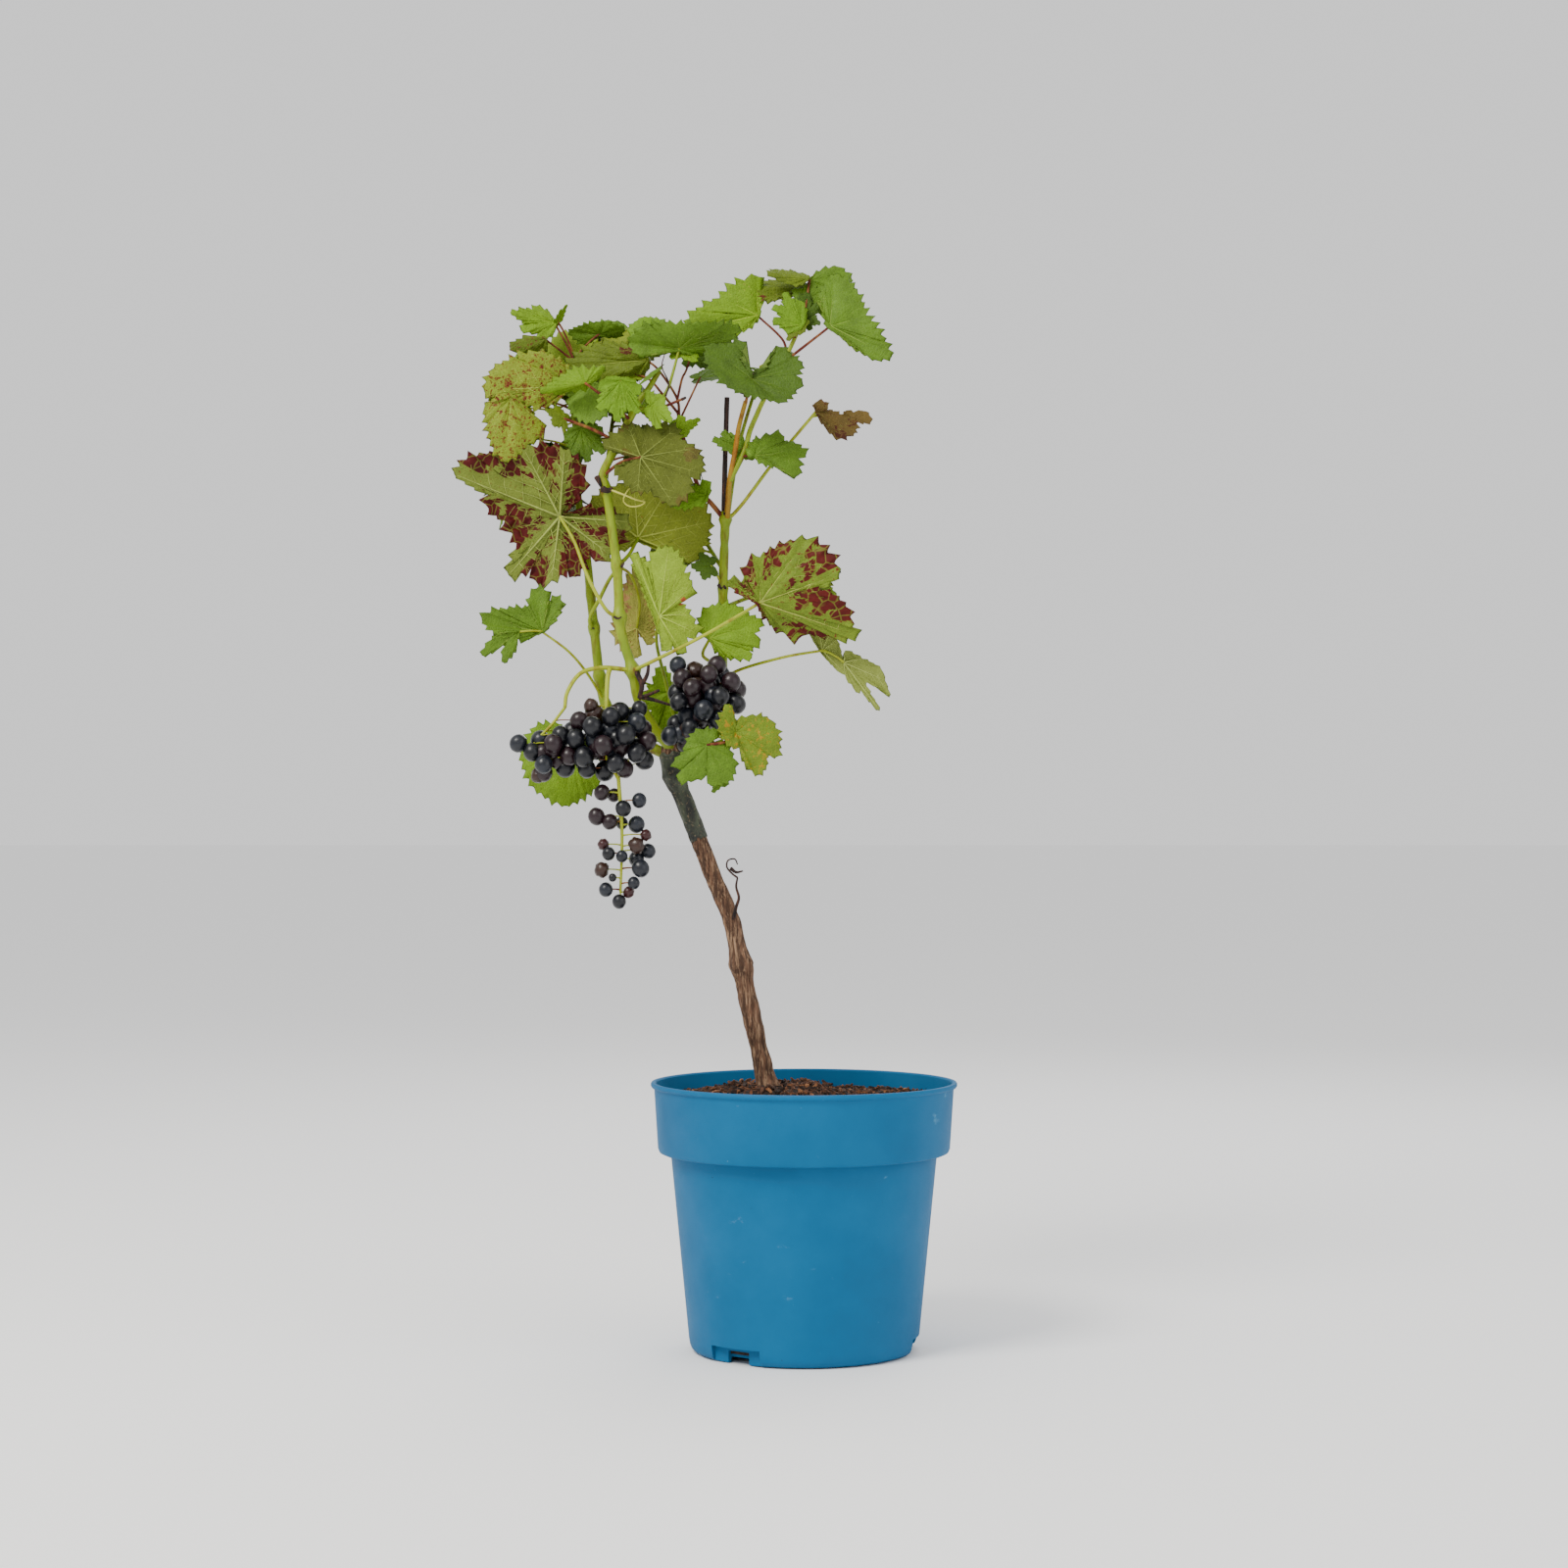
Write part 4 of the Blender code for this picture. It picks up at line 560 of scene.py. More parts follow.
# A stem is its radius at the root and the end, and its points. A leaf is its tint, the place where
# its stalk meets the blade, and the reach of its veins from there in order: two reaches are the
# middle and one side lobe of a regular leaf. "other" gives a stem, by its number, a finish of its
# own, and "teeth" is how bold the teeth of the margin are.
MASSES = {
    "leaves_left_crown": dict(
        stems=(
            (2.6, 1.3, (-174, 668, 12), (-172, 686, 13), (-174, 708, 15), (-171, 735, 20), (-173, 742, 24)),
        ),
        leaves=(
            ("bright", (-188, 771, 20), (-10, -13, -8), (-24, -6, -10), (-32, 7, -12), (-14, 14, 2),
             (-1, 7, 8)),
            ("bright", (-186, 773, 22), (8, 12, -3), (4, 3, 4)),
            ("spotted", (-195, 759, 12), (-5, -13, 2), (-21, -11, -6), (-26, -6, -8), (-17, 0, -4),
             (-7, 3, 4)),
            ("light", (-173, 739, 34), (-18, -7, 2), (-22, 15, 6), (-10, 28, 8), (4, 24, 8), (22, 18, 6),
             (16, 4, 2)),
            ("speckled", (-175, 724, -6), (-23, -18, -5), (-44, -12, -12), (-65, -7, -18), (-58, 11, -12),
             (-41, 19, -8), (-26, 25, -4), (-7, 16, 2)),
            ("speckled", (-221, 715, -22), (26, -24, 4), (14, -35, 2), (-4, -49, -3), (-12, -38, -5),
             (-16, -20, -6), (-19, -8, -6)),
            ("bluish", (-159, 726, -8), (-17, -5, 2), (-19, -16, 0), (-12, -27, -6), (-2, -31, -6),
             (8, -27, -6), (14, -18, -4), (10, -8, 0)),
            ("mid", (-154, 763, 24), (-14, -7, 6), (-24, 2, 4), (-13, 6, -4), (5, 8, -6), (19, 4, -2),
             (14, -2, 4)),
            ("mid", (-168, 692, 3), (-13, -8, -2), (-8, -25, -4), (6, -27, -6), (18, -20, -6), (17, -3, -2)),
        ),
    ),
    "leaves_middle_crown": dict(
        stems=(
            (3.0, 1.9, (-135, 692, -22), (-124, 712, -22), (-117, 722, -21), (-109, 735, -20)),
            (1.5, 1.0, (-127, 706, -22), (-112, 709, -22), (-103, 721, -22), (-99, 733, -21),
             (-94, 752, -20)),
            (1.4, 1.1, (-141, 679, -23), (-148, 685, -29), (-162, 692, -33), (-181, 699, -34)),
            (1.3, 1.0, (-132, 699, -24), (-149, 714, -28), (-165, 726, -29)),
        ),
        leaves=(
            ("bright", (-165, 726, -29), (15, 13, 5), (-5, 12, 6), (-34, -8, -4), (-23, -6, 12),
             (2, -1, 14)),
            ("vivid", (-138, 728, -36), (15, -8, 4), (13, -26, 0), (-3, -33, -4), (-17, -24, -6),
             (-17, -5, -2)),
            ("olive", (-181, 699, -34), (-13, 7, -6), (-5, 12, 6)),
            ("bright", (-115, 709, -30), (16, -13, -6), (6, -19, -4)),
            ("mid", (-110, 735, -20), (-15, -13, -8), (-7, -3, 4)),
            ("vivid", (-112, 760, 6), (-17, -1, 0), (-20, 10, 4), (-10, 18, 8), (3, 17, 10), (16, 11, 8),
             (16, 1, 4)),
            ("mid", (-94, 752, -20), (-32, -5, -4), (-38, 4, -2), (-28, 14, -10), (-2, 15, -14),
             (23, 16, -14), (46, 15, -2), (35, 1, 2), (14, -4, 2)),
            ("bright", (-90, 754, -13), (8, -14, -8), (-11, -10, -6)),
        ),
    ),
    "leaves_centre": dict(
        other={0: RED_STALK},
        stems=(
            (2.0, 1.4, (-60, 623, 0), (-69, 634, -1), (-79, 646, -3), (-87, 670, -4), (-91, 685, -6),
             (-95, 704, -8)),
            (1.1, 0.8, (-94, 702, -8), (-107, 718, -6), (-117, 729, -2), (-129, 733, 2)),
            (1.1, 0.8, (-94, 701, -7), (-96, 715, -8), (-109, 735, -5), (-118, 743, -4)),
            (1.0, 0.8, (-96, 711, -9), (-92, 729, -8), (-89, 735, -4), (-84, 750, 5)),
            (0.9, 0.7, (-94, 697, -8), (-78, 731, -12)),
        ),
        leaves=(
            ("olive", (-118, 743, -4), (-13, -13, 4), (-40, -15, 2), (-62, -4, 4), (-44, 11, 2),
             (-15, 10, -2)),
            ("light", (-129, 733, 2), (12, 6, 4), (8, -4, -2)),
            ("mid", (-78, 731, -12), (20, 4, -4), (11, 1, 22)),
            ("deep", (-84, 750, 5), (28, 4, 4), (15, -15, -4)),
            ("bright", (-98, 688, -12), (20, 10, -6), (11, -2, 4)),
            ("vivid", (-73, 641, -10), (-7, -8, -2), (-24, -10, -4), (-30, -4, -2), (-16, 7, 4),
             (-1, 12, 0)),
        ),
    ),
    "leaves_middle_front": dict(
        stems=((1.3, 1.1, (-151, 656, -21), (-138, 666, -30), (-123, 670, -36)),),
        leaves=(
            ("grey_under", (-123, 670, -36), (-29, 10, 2), (-18, 19, 5), (-10, 25, 8), (1, 22, 9),
             (14, 27, 11), (27, 24, 10), (29, 14, 6), (41, 7, 2), (47, -3, -2), (46, -13, -6),
             (38, -16, -7), (36, -29, -10), (26, -38, -12), (14, -31, -10), (8, -25, -9), (-2, -27, -9),
             (-13, -18, -6), (-20, -10, -3)),
        ),
    ),
    "leaves_middle_back": dict(
        other={1: GREEN_STALK},
        stems=(
            (1.7, 1.2, (-140, 588, -18), (-132, 596, -8), (-125, 609, 8)),
            (1.2, 1.0, (-140, 588, -18), (-130, 580, -2), (-124, 560, 4), (-126, 541, 6)),
        ),
        leaves=(
            ("yellow_under", (-125, 609, 8), (-13, -9, 4), (-36, 29, 6), (-4, 45, 8), (29, 49, 10),
             (55, 13, 6), (42, -18, 0)),
            ("pinkish_under", (-126, 541, 6), (1, -23, 0), (-17, -7, 4), (-8, 35, 6), (1, 46, 6),
             (13, 29, 4), (11, -13, 0)),
        ),
    ),
    "leaf_red_left": dict(
        stems=((1.5, 1.2, (-141, 549, -18), (-150, 556, -25), (-163, 580, -22), (-173, 606, -14),
                (-184, 625, -8)),),
        leaves=(
            ("flaming_under", (-184, 625, -8), (27, 5, 1), (43, 2, 2), (52, -4, 2), (38, -29, 0),
             (32, -34, 0), (22, -26, 0), (12, -46, -2), (6, -39, -2), (-6, -49, -3), (-18, -49, -4),
             (-21, -39, -4), (-38, -45, -6), (-28, -28, -4), (-35, -13, -5), (-41, -4, -6), (-53, 5, -8),
             (-49, 17, -9), (-78, 30, -14), (-69, 41, -13), (-46, 46, -10), (-26, 49, -9), (-7, 51, -8),
             (4, 49, -8), (15, 40, -5), (19, 29, -2), (15, 18, -1)),
        ),
    ),
    "leaves_centre_low": dict(
        stems=(
            (1.6, 1.1, (-99, 450, 4), (-98, 472, 12), (-104, 500, 6), (-111, 530, -16), (-109, 550, -27)),
        ),
        leaves=(
            ("light_under", (-109, 550, -27), (-20, 49, 4), (-9, 35, 3), (-3, 50, 3), (7, 53, 2),
             (15, 46, 2), (19, 33, 2), (25, 23, 3), (21, 17, 3), (16, 10, 2), (23, 2, 2), (29, -13, 2),
             (21, -16, 1), (18, -29, 0), (10, -18, 0), (6, -27, -2)),
            ("bright", (-101, 493, 16), (-9, -38, 2), (-19, -5, 2)),
        ),
    ),
    "leaf_right_middle": dict(
        stems=((1.4, 1.1, (-62, 512, 9), (-76, 520, -2), (-71, 533, -14)),),
        leaves=(
            ("bright", (-71, 533, -14), (-9, 8, 2), (-7, 17, 4), (-1, 24, 4), (9, 26, 3), (21, 25, 2),
             (30, 18, 1), (40, 13, 0), (34, 4, -2), (38, -4, -4), (28, -8, -4), (32, -15, -6),
             (19, -15, -5), (8, -10, -3)),
        ),
    ),
    "leaf_small_dark": dict(
        stems=((1.0, 0.8, (-61, 571, 5), (-66, 582, -1), (-70, 588, -2)),),
        leaves=(("deep", (-70, 588, -2), (-15, 0, -2), (-8, 11, 4)),),
    ),
    "leaf_red_right": dict(
        stems=((1.6, 1.2, (-129, 509, -16), (-120, 513, -27), (-78, 534, -42), (-33, 560, -50)),),
        leaves=(
            ("maroon", (-33, 560, -50), (-24, 18, 6), (-8, 11, 5), (-12, 21, 5), (-10, 29, 4), (0, 35, 3),
             (11, 41, 2), (26, 47, 1), (35, 48, 0), (45, 44, 0), (51, 38, 0), (60, 22, 0), (54, 17, 2),
             (38, 11, 3), (55, 7, 2), (65, -2, 4), (70, -18, 7), (74, -24, 9), (60, -25, 12), (38, -18, 13),
             (32, -24, 15), (22, -20, 16), (17, -21, 16), (7, -10, 14)),
        ),
    ),
    "leaf_hanging_right": dict(
        teeth=0.3,
        stems=((1.3, 1.0, (-62, 502, 9), (-47, 510, 0), (-15, 519, -14), (14, 524, -24)),),
        leaves=(
            ("ashen_under", (14, 524, -24), (-13, 19, 4), (-13, 25, 5), (-6, 31, 5), (3, 29, 4), (8, 21, 3),
             (11, 8, 1), (15, -8, -1), (17, -18, -2), (13, -17, -2), (8, -12, -1)),
            ("ashen_under", (30, 515, -26), (1, 9, 0), (14, 3, -2), (28, -5, -5), (31, -14, -6),
             (34, -27, -8), (25, -19, -7), (13, -12, -4), (20, -25, -7), (27, -37, -9), (21, -31, -8),
             (11, -17, -5), (12, -24, -6), (6, -17, -4), (1, -10, -2)),
        ),
    ),
    "leaf_dry_right": dict(
        stems=((1.5, 1.2, (-58, 622, 1), (-46, 635, 4), (-22, 667, 2), (9, 704, -10)),),
        leaves=(
            ("dry", (9, 704, -10), (-1, 7, 4), (6, 7, 3), (9, 4, 2), (6, 0, 1), (14, -1, 4), (22, -4, 4),
             (30, -8, 2), (30, -14, -1), (29, -17, -3), (23, -20, -5), (19, -22, -6), (14, -18, -6),
             (8, -11, -4), (4, -6, -2)),
            ("dry", (30, 700, -6), (2, 5, 1), (8, 4, 2), (14, 6, 3), (20, 2, 2), (21, -3, 0), (11, -4, -2),
             (2, -4, -1)),
        ),
    ),
    "leaf_left_side": dict(
        stems=((1.2, 0.9, (-149, 483, 13), (-162, 505, 2), (-177, 523, -14), (-197, 538, -24)),),
        leaves=(
            ("mid", (-197, 538, -24), (-13, -4, -4), (-24, -5, -10), (-37, 0, -12), (-45, 7, -10),
             (-39, 13, -8), (-27, 16, -4), (-16, 17, -2), (-10, 15, 0), (-10, 26, 2), (-5, 33, 4),
             (1, 32, 4), (3, 24, 4), (4, 19, 4), (10, 27, 6), (13, 24, 6), (10, 11, 3)),
            ("mid", (-215, 538, -33), (-2, -7, -1), (-5, -16, -3), (-10, -24, -5), (-12, -18, -4),
             (-10, -11, -3), (-8, -7, -2), (-17, -13, -4), (-27, -18, -6), (-25, -12, -5), (-20, -6, -4),
             (-12, -2, -3)),
        ),
    ),
    "leaf_left_low": dict(
        stems=((1.4, 1.1, (-149, 483, 13), (-162, 472, 14), (-175, 453, 6)),),
        leaves=(
            ("bright", (-175, 453, 6), (21, -29, 2), (-4, -46, -4), (-28, -32, -4), (-38, -6, -2),
             (-27, 14, 2), (-10, 16, 4)),
        ),
    ),
    "leaves_right_low": dict(
        stems=(
            (1.7, 1.3, (-74, 470, 6), (-59, 459, -4), (-44, 456, -26), (-51, 462, -58)),
            (1.2, 1.0, (-50, 461, -53), (-60, 455, -64), (-73, 453, -66)),
        ),
        leaves=(
            ("mid", (-73, 453, -66), (14, 2, 4), (20, -9, 2), (22, -17, 0), (17, -27, -2), (3, -31, -5),
             (0, -23, -4), (-7, -26, -6), (-21, -27, -10), (-15, -15, -6), (-23, -17, -9), (-24, -12, -8),
             (-15, -6, -4), (-15, 2, -2), (-10, 9, 1), (-2, 12, 3), (7, 12, 4), (9, 9, 4)),
            ("yellowing", (-51, 462, -58), (0, 9, 4), (7, 12, 4), (15, 13, 4), (25, 11, 3), (30, 4, 1),
             (33, -7, 0), (31, -18, -2), (22, -15, -2), (23, -25, -5), (17, -32, -6), (12, -29, -7),
             (6, -16, -4), (3, -11, -4), (-4, -10, -8), (-8, -6, -8), (-13, 4, -8), (-10, 16, -4),
             (-5, 22, 0), (-2, 12, 2)),
            ("mid", (-62, 429, -46), (-7, -12, -2), (-10, -4, 2)),
        ),
    ),
    "leaves_right_crown": dict(
        other={0: RUSTY_STALK, 2: RED_STALK, 3: RED_STALK},
        stems=(
            (2.2, 1.7, (-58, 624, -2.5), (-56, 652, -9), (-52, 674, -12), (-49, 693, -16), (-44, 712, -24)),
            (2.2, 1.6, (-56, 652, -9), (-45, 674, -10), (-41, 689, -9), (-36, 701, -8), (-31, 712, -7),
             (-20, 733, -7), (-11, 751, -8), (-2, 771, -9)),
            (1.2, 0.9, (-16, 741, -7), (20, 769, -18)),
            (1.1, 0.8, (-16, 741, -7), (-15, 757, -5), (-35, 777, 4)),
            (1.2, 1.0, (-44, 710, -23), (-42, 720, -34), (-39, 729, -48)),
            (1.3, 0.9, (-2, 771, -9), (2, 788, 0), (4, 803, 6)),
        ),
        leaves=(
            ("mid", (-37, 671, -18), (-6, 1, -2), (-1, 13, 5), (4, 15, 6), (12, 18, 6), (20, 18, 4),
             (22, 10, 3), (31, 11, 2), (39, 3, 0), (33, -1, -2), (33, -14, -6), (20, -9, -6), (15, -7, -7),
             (6, -6, -8)),
            ("mid", (-47, 676, -6), (-22, 8, 2), (-15, 14, 6)),
            ("bright", (-35, 777, 4), (-7, -11, -6), (-26, -15, -10), (-55, -15, -14), (-51, -4, -12),
             (-28, 13, -6), (-10, 27, 2), (-1, 31, 6), (2, 17, 6)),
            ("deep", (-39, 729, -48), (7, 7, 2), (13, 15, 5), (22, 24, 8), (30, 17, 6), (38, 10, 3),
             (33, 2, 0), (38, -3, -2), (33, -10, -5), (22, -21, -12), (10, -18, -13), (-7, -14, -14),
             (-20, -7, -11), (-29, 4, -5), (-36, 14, 0), (-33, 25, 4), (-20, 26, 8), (-9, 30, 10),
             (-6, 24, 8), (-4, 12, 3)),
            ("mid", (20, 769, -18), (-5, 10, 4), (-7, 27, 8), (3, 41, 10), (15, 35, 8), (27, 7, 2),
             (46, -25, -8), (34, -27, -6)),
            ("mid", (5, 804, 8), (8, 7, 6), (21, 11, 6), (31, 2, 4), (29, -7, 2), (17, -9, 0), (6, -16, -2)),
            ("olive", (3, 805, 4), (-13, -7, -4), (-25, -2, -6), (-31, 3, -6), (-22, 6, 4), (-8, 4, 8)),
            ("olive", (3, 799, 16), (-5, -7, -4), (-22, -12, -6), (-38, -13, -8), (-43, -4, -8),
             (-37, 2, 2), (-19, 3, 6)),
            ("vivid", (-2, 770, -12), (-13, -5, -2), (-22, 2, -4), (-21, 14, -4), (-13, 25, 0), (-1, 19, 4)),
            ("deep", (-2, 771, -4), (-3, 20, 2), (6, 24, 4), (15, 16, 2), (12, 5, 0)),
            ("mid", (2, 790, 3), (-12, -8, 0), (-10, 8, 2), (4, 14, 4), (17, 6, 2), (14, -12, -2)),
            ("deep", (0, 774, -2), (13, -4, -4), (5, -9, -4)),
            ("olive", (-3, 771, -10), (-10, -14, -6), (-11, -5, -2)),
        ),
    ),
}


def puckers(between, share):
    """The phase of the small ridges that run slantwise from vein to vein."""
    return 2 * math.pi * (4.5 * share - 1.3 * between)


def blade_corners(reaches, across):
    """The tips of the lobes with the cuts between them, and last the notch behind the stalk."""
    corners, opened, regular = [], 0.0, len(reaches) < 6
    for here, after in zip(reaches, reaches[1:]):
        corners.append(here)
        if regular and here.angle(after) > SINUS_FROM:
            middle = (here.normalized() + after.normalized()).normalized()
            corners.append(middle * SINUS * (here.length + after.length) / 2)
        opened += here.angle(after)
    back = Matrix.Rotation(opened / 2 - math.pi, 3, across) @ reaches[0].normalized()
    return corners + [reaches[-1], back * STALK_NOTCH * (reaches[0].length + reaches[-1].length) / 2]


def toothed(corners, across, size, rng, bulge, bold):
    """The margin: each side of a lobe swells a little and carries teeth that point to its tip.

    Each of its points comes with its turn round the stalk's end, counted on from the first tip.
    """
    line, turned = [], 0.0
    for i, (here, after) in enumerate(zip(corners, corners[1:] + corners[:1])):
        by_notch = i >= len(corners) - 2
        side = after - here
        out = side.cross(across).normalized()
        out = out if out.dot(here + after) > 0 else -out
        teeth = max(1, round(side.length / (TOOTH * MM * (0.55 + 0.45 * size / 0.05))))
        shape = TOOTH_RISING if here.length < after.length else TOOTH_FALLING
        height = bold * min(0.6 * side.length / teeth, 0.085 * size)
        opens = max(0.02, here.angle(after))
        for k in range(teeth):
            lift = height * rng.uniform(0.4, 1.4)
            for part, much in shape:
                u = (k + part) / teeth
                swell = side.length * (bulge if by_notch else 0.05) * 4 * u * (1 - u)
                near = (1 - u if i == len(corners) - 2 else u) if by_notch else 1.0
                place = here.lerp(after, u) + out * (swell + lift * much * near)
                line.append((*place, turned + opens * u))
        turned += opens
    return np.array(line), turned


class Blade:
    """One leaf's surface: where it lies at an angle round the stalk's end and a share of its reach."""

    def __init__(self, joint, reaches, up, rng, bold):
        self.joint, self.up = np.array(joint), np.array(up)
        self.size = max(reach.length for reach in reaches)
        across = way_up(reaches)
        bulge = 0.2 if len(reaches) < 6 else 0.02
        corners = blade_corners(reaches, across)
        margin, self.whole = toothed(corners, across, self.size, rng, bulge, bold)
        self.turns, self.margin = margin[:, 3], margin[:, :3]
        self.veins = []
        for reach in sorted(reaches, key=lambda reach: -reach.length):
            tip = int(np.argmin(np.linalg.norm(self.margin - np.array(reach), axis=1)))
            turn = float(self.turns[tip])
            if not self.veins or (len(self.veins) < VEINS and float(self.apart(turn)) > VEINS_APART):
                self.veins.append(turn)
        self.curl, self.wave = rng.uniform(-0.09, 0.05), rng.uniform(0.015, 0.04)
        self.start = rng.uniform(0, 6)

    def refine(self, times):
        """Puts more points on the margin, between those that shape it."""
        steps = np.arange(len(self.turns) * times) / times
        known = np.arange(len(self.turns) + 1)
        self.margin = np.stack([np.interp(steps, known, np.append(self.margin[:, i], self.margin[0, i]))
                                for i in range(3)], -1)
        self.turns = np.interp(steps, known, np.append(self.turns, self.whole))

    def apart(self, turns):
        """How far each angle is from the nearest vein's."""
        half = self.whole / 2
        return np.min([np.abs((turns - vein + half) % self.whole - half) for vein in self.veins], axis=0)

    def from_vein(self, turns):
        """0 on a main vein to 1 half way to the next."""
        return np.minimum(1.0, self.apart(turns) / VEIN_ROOM)

    def at(self, turns, share):
        """The places at these angles and shares, with the blade's puckers, curl and waves."""
        reach = np.stack([np.interp(turns, self.turns, self.margin[:, i], period=self.whole)
                          for i in range(3)], -1)
        between = self.from_vein(turns)
        lift = 0.045 * between ** 0.7 * (4 * share * (1 - share)) ** 0.8
        lift = lift + 0.016 * np.sin(puckers(between, share)) * between ** 0.5 * share
        lift = lift + self.curl * share ** 2.5 + self.wave * share ** 3 * np.sin(3 * turns + self.start)
        lift = np.reshape(lift, (-1, 1)) * self.size
        return self.joint + reach * np.reshape(share, (-1, 1)) + self.up * lift


def mark_of(marks, between, share, place):
    """Whether a spot of the blade is marked, by its place among the veins."""
    kind, _, much = marks
    if kind == "flush":
        patch = noise.noise(Vector(place) * 38) * 0.7 + noise.noise(Vector(place) * 130) * 0.35
        beside = 0.32 * math.sin(puckers(between, share))
        return between > 0.2 and patch + 1.3 * share + 0.5 * between + beside - 1.15 + much > 0
    return kind == "spots" and noise.noise(Vector(place) * 70) > much


def grow_blade(sheaf, joint, reaches, up, tint, rng, rings=RINGS, bold=1.0):
    """A closed blade with its raised veins. Each tint's finishes are upper, under, vein and mark."""
    blade = Blade(joint, reaches, up, rng, bold)
    marks, upper = TINTS[tint][3], 4 * sheaf.tints.index(tint)
    if marks and marks[0] == "flush" and rings is RINGS:
        rings = FINE_RINGS
        blade.refine(3)
    if rings is FEW_RINGS:
        blade.turns, blade.margin = blade.turns[::2], blade.margin[::2]
    count = len(blade.turns)
    grid = np.stack([blade.at(blade.turns, np.full(count, share)) for share in rings])
    round_step = np.roll(grid, -1, axis=1) - np.roll(grid, 1, axis=1)
    out_step = np.gradient(grid, axis=0)
    normal = np.cross(out_step, round_step)
    normal /= np.maximum(np.linalg.norm(normal, axis=2, keepdims=True), 1e-9)
    if np.sum(normal * blade.up) < 0:
        normal = -normal
    half = BLADE_THICKNESS * MM / 2
    top, low = grid[:-1] + normal[:-1] * half, grid[:-1] - normal[:-1] * half
    corners = [blade.joint + blade.up * half, blade.joint - blade.up * half]
    corners += [*top.reshape(-1, 3), *low.reshape(-1, 3), *grid[-1]]
    last = len(rings) - 1
    between = blade.from_vein(blade.turns)
    faces, finishes = [], []
    leftwards = way_up(reaches).dot(up) > 0
    for side in (0, 1):
        def spot(r, j, side=side):
            j %= count
            return 2 + 2 * last * count + j if r == last else 2 + (side * last + r) * count + j
        for r in range(-1, last):
            for j in range(count):
                k = (j + 1) % count
                face = (side, spot(0, j), spot(0, k))
                if r >= 0:
                    face = (spot(r, j), spot(r + 1, j), spot(r + 1, k), spot(r, k))
                faces.append(face if (side == 0) == leftwards else face[::-1])
                marked = marks and mark_of(marks, between[j], rings[max(r, 0)], grid[max(r, 0), j])
                finishes.append(upper + (3 if marked else side))
    sheaf.add(corners, faces, finishes)
    grow_veins(sheaf, blade, upper + 2, rings is FEW_RINGS)


def grow_veins(sheaf, blade, finish, young):
    """The main veins, each with its pairs of side veins unless the leaf is young."""
    steps = 4 if young else 8
    for vein in blade.veins:
        along = np.linspace(0.0, VEIN_END, steps)
        grow_vein(sheaf, blade, np.full(steps, vein), along, VEIN_THICK, finish)
        for start in () if young else SIDE_VEINS_FROM:
            run = np.linspace(0.0, SIDE_VEIN_ON * (1 - start) + 0.05, 4)
            on, out = start + run * SIDE_VEIN_ON, run * SIDE_VEIN_OUT
            share = np.minimum(VEIN_END, np.hypot(on, out))
            for way in (-1, 1):
                grow_vein(sheaf, blade, vein + way * np.arctan2(out, on), share, SIDE_VEIN_THICK, finish)


def grow_vein(sheaf, blade, turns, shares, thick, finish):
    """A vein of four sides that stands out of both faces of the blade, thinner towards its end."""
    places = blade.at(turns, shares) - blade.up * (VEIN_SUNK * MM)
    steps = len(places) - 1
    line = [(place, max(VEIN_LEAST * MM, thick * blade.size * (1 - 0.8 * i / steps)))
            for i, place in enumerate(places)]
    sweep(sheaf, line, 4, finish)


def leaf_finish(name, colour, deeper, rough, specks=None, share=0.1, veined=None):
    """Leaf skin: soft mottling, specks over a share of it, a net of the smallest veins, a low gloss."""
    finish, tree, shader = new_finish(name, Specular_IOR_Level=0.18)
    skin = clouds(tree, 75.0, 0.3, 0.25, Colour=linear(colour), Over=linear(deeper))
    mottled, skin = skin["Mask"], skin["Colour"]
    for scale, much in ((170.0, share - 0.01), (430.0, share - 0.005)) if specks else ():
        skin = clouds(tree, scale, much, 0.03, Colour=skin, Over=linear(specks))["Colour"]
    place = add_node(tree, "TexCoord", {})["Object"]
    net = add_node(tree, "TexVoronoi", {"Vector": place, "Scale": 115.0 if veined else 420.0},
                   feature="DISTANCE_TO_EDGE")[0]
    cells = add_node(tree, "MapRange", {"Value": net, "From Max": 0.25})[0]
    lines = add_node(tree, "MapRange", {"Value": net, "From Max": 0.07 if veined else 0.1,
                                        "To Min": 0.6 if veined else 0.2, "To Max": 0.0})[0]
    pale = veined or tuple(c * 1.25 + 6 for c in colour)
    netted = add_node(tree, "Mix", {0: lines, 6: skin, 7: linear(pale)}, data_type="RGBA")[2]
    tree.links.new(netted, shader.inputs["Base Color"])
    rough_and_bump(tree, shader, mottled, rough, rough + 0.14, cells, 0.0002)
    return finish


def darker(tint, much):
    """The tint with less light, much under 1, or with more."""
    return tuple(c * much for c in tint)


def tint_finishes(tint):
    """The four finishes of one tint: upper side, underside, veins, and marks."""
    upper, under, vein, marks = TINTS[tint]
    made = bpy.data.materials
    if tint + "_upper" not in made:
        kind, stain, much = marks or (None, upper, 0)
        specks = {"specks": (stain, much), "flush": (stain, 0.1)}.get(kind, ())
        leaf_finish(tint + "_upper", upper, darker(upper, 0.76), 0.5, *specks)
        leaf_finish(tint + "_under", under, darker(under, 0.82), 0.62, *specks)
        leaf_finish(tint + "_vein", vein, darker(vein, 0.9), 0.55)
        leaf_finish(tint + "_mark", stain, darker(stain, 0.7), 0.55,
                    veined=under if kind == "flush" else None)
    return [made[tint + part] for part in ("_upper", "_under", "_vein", "_mark")]


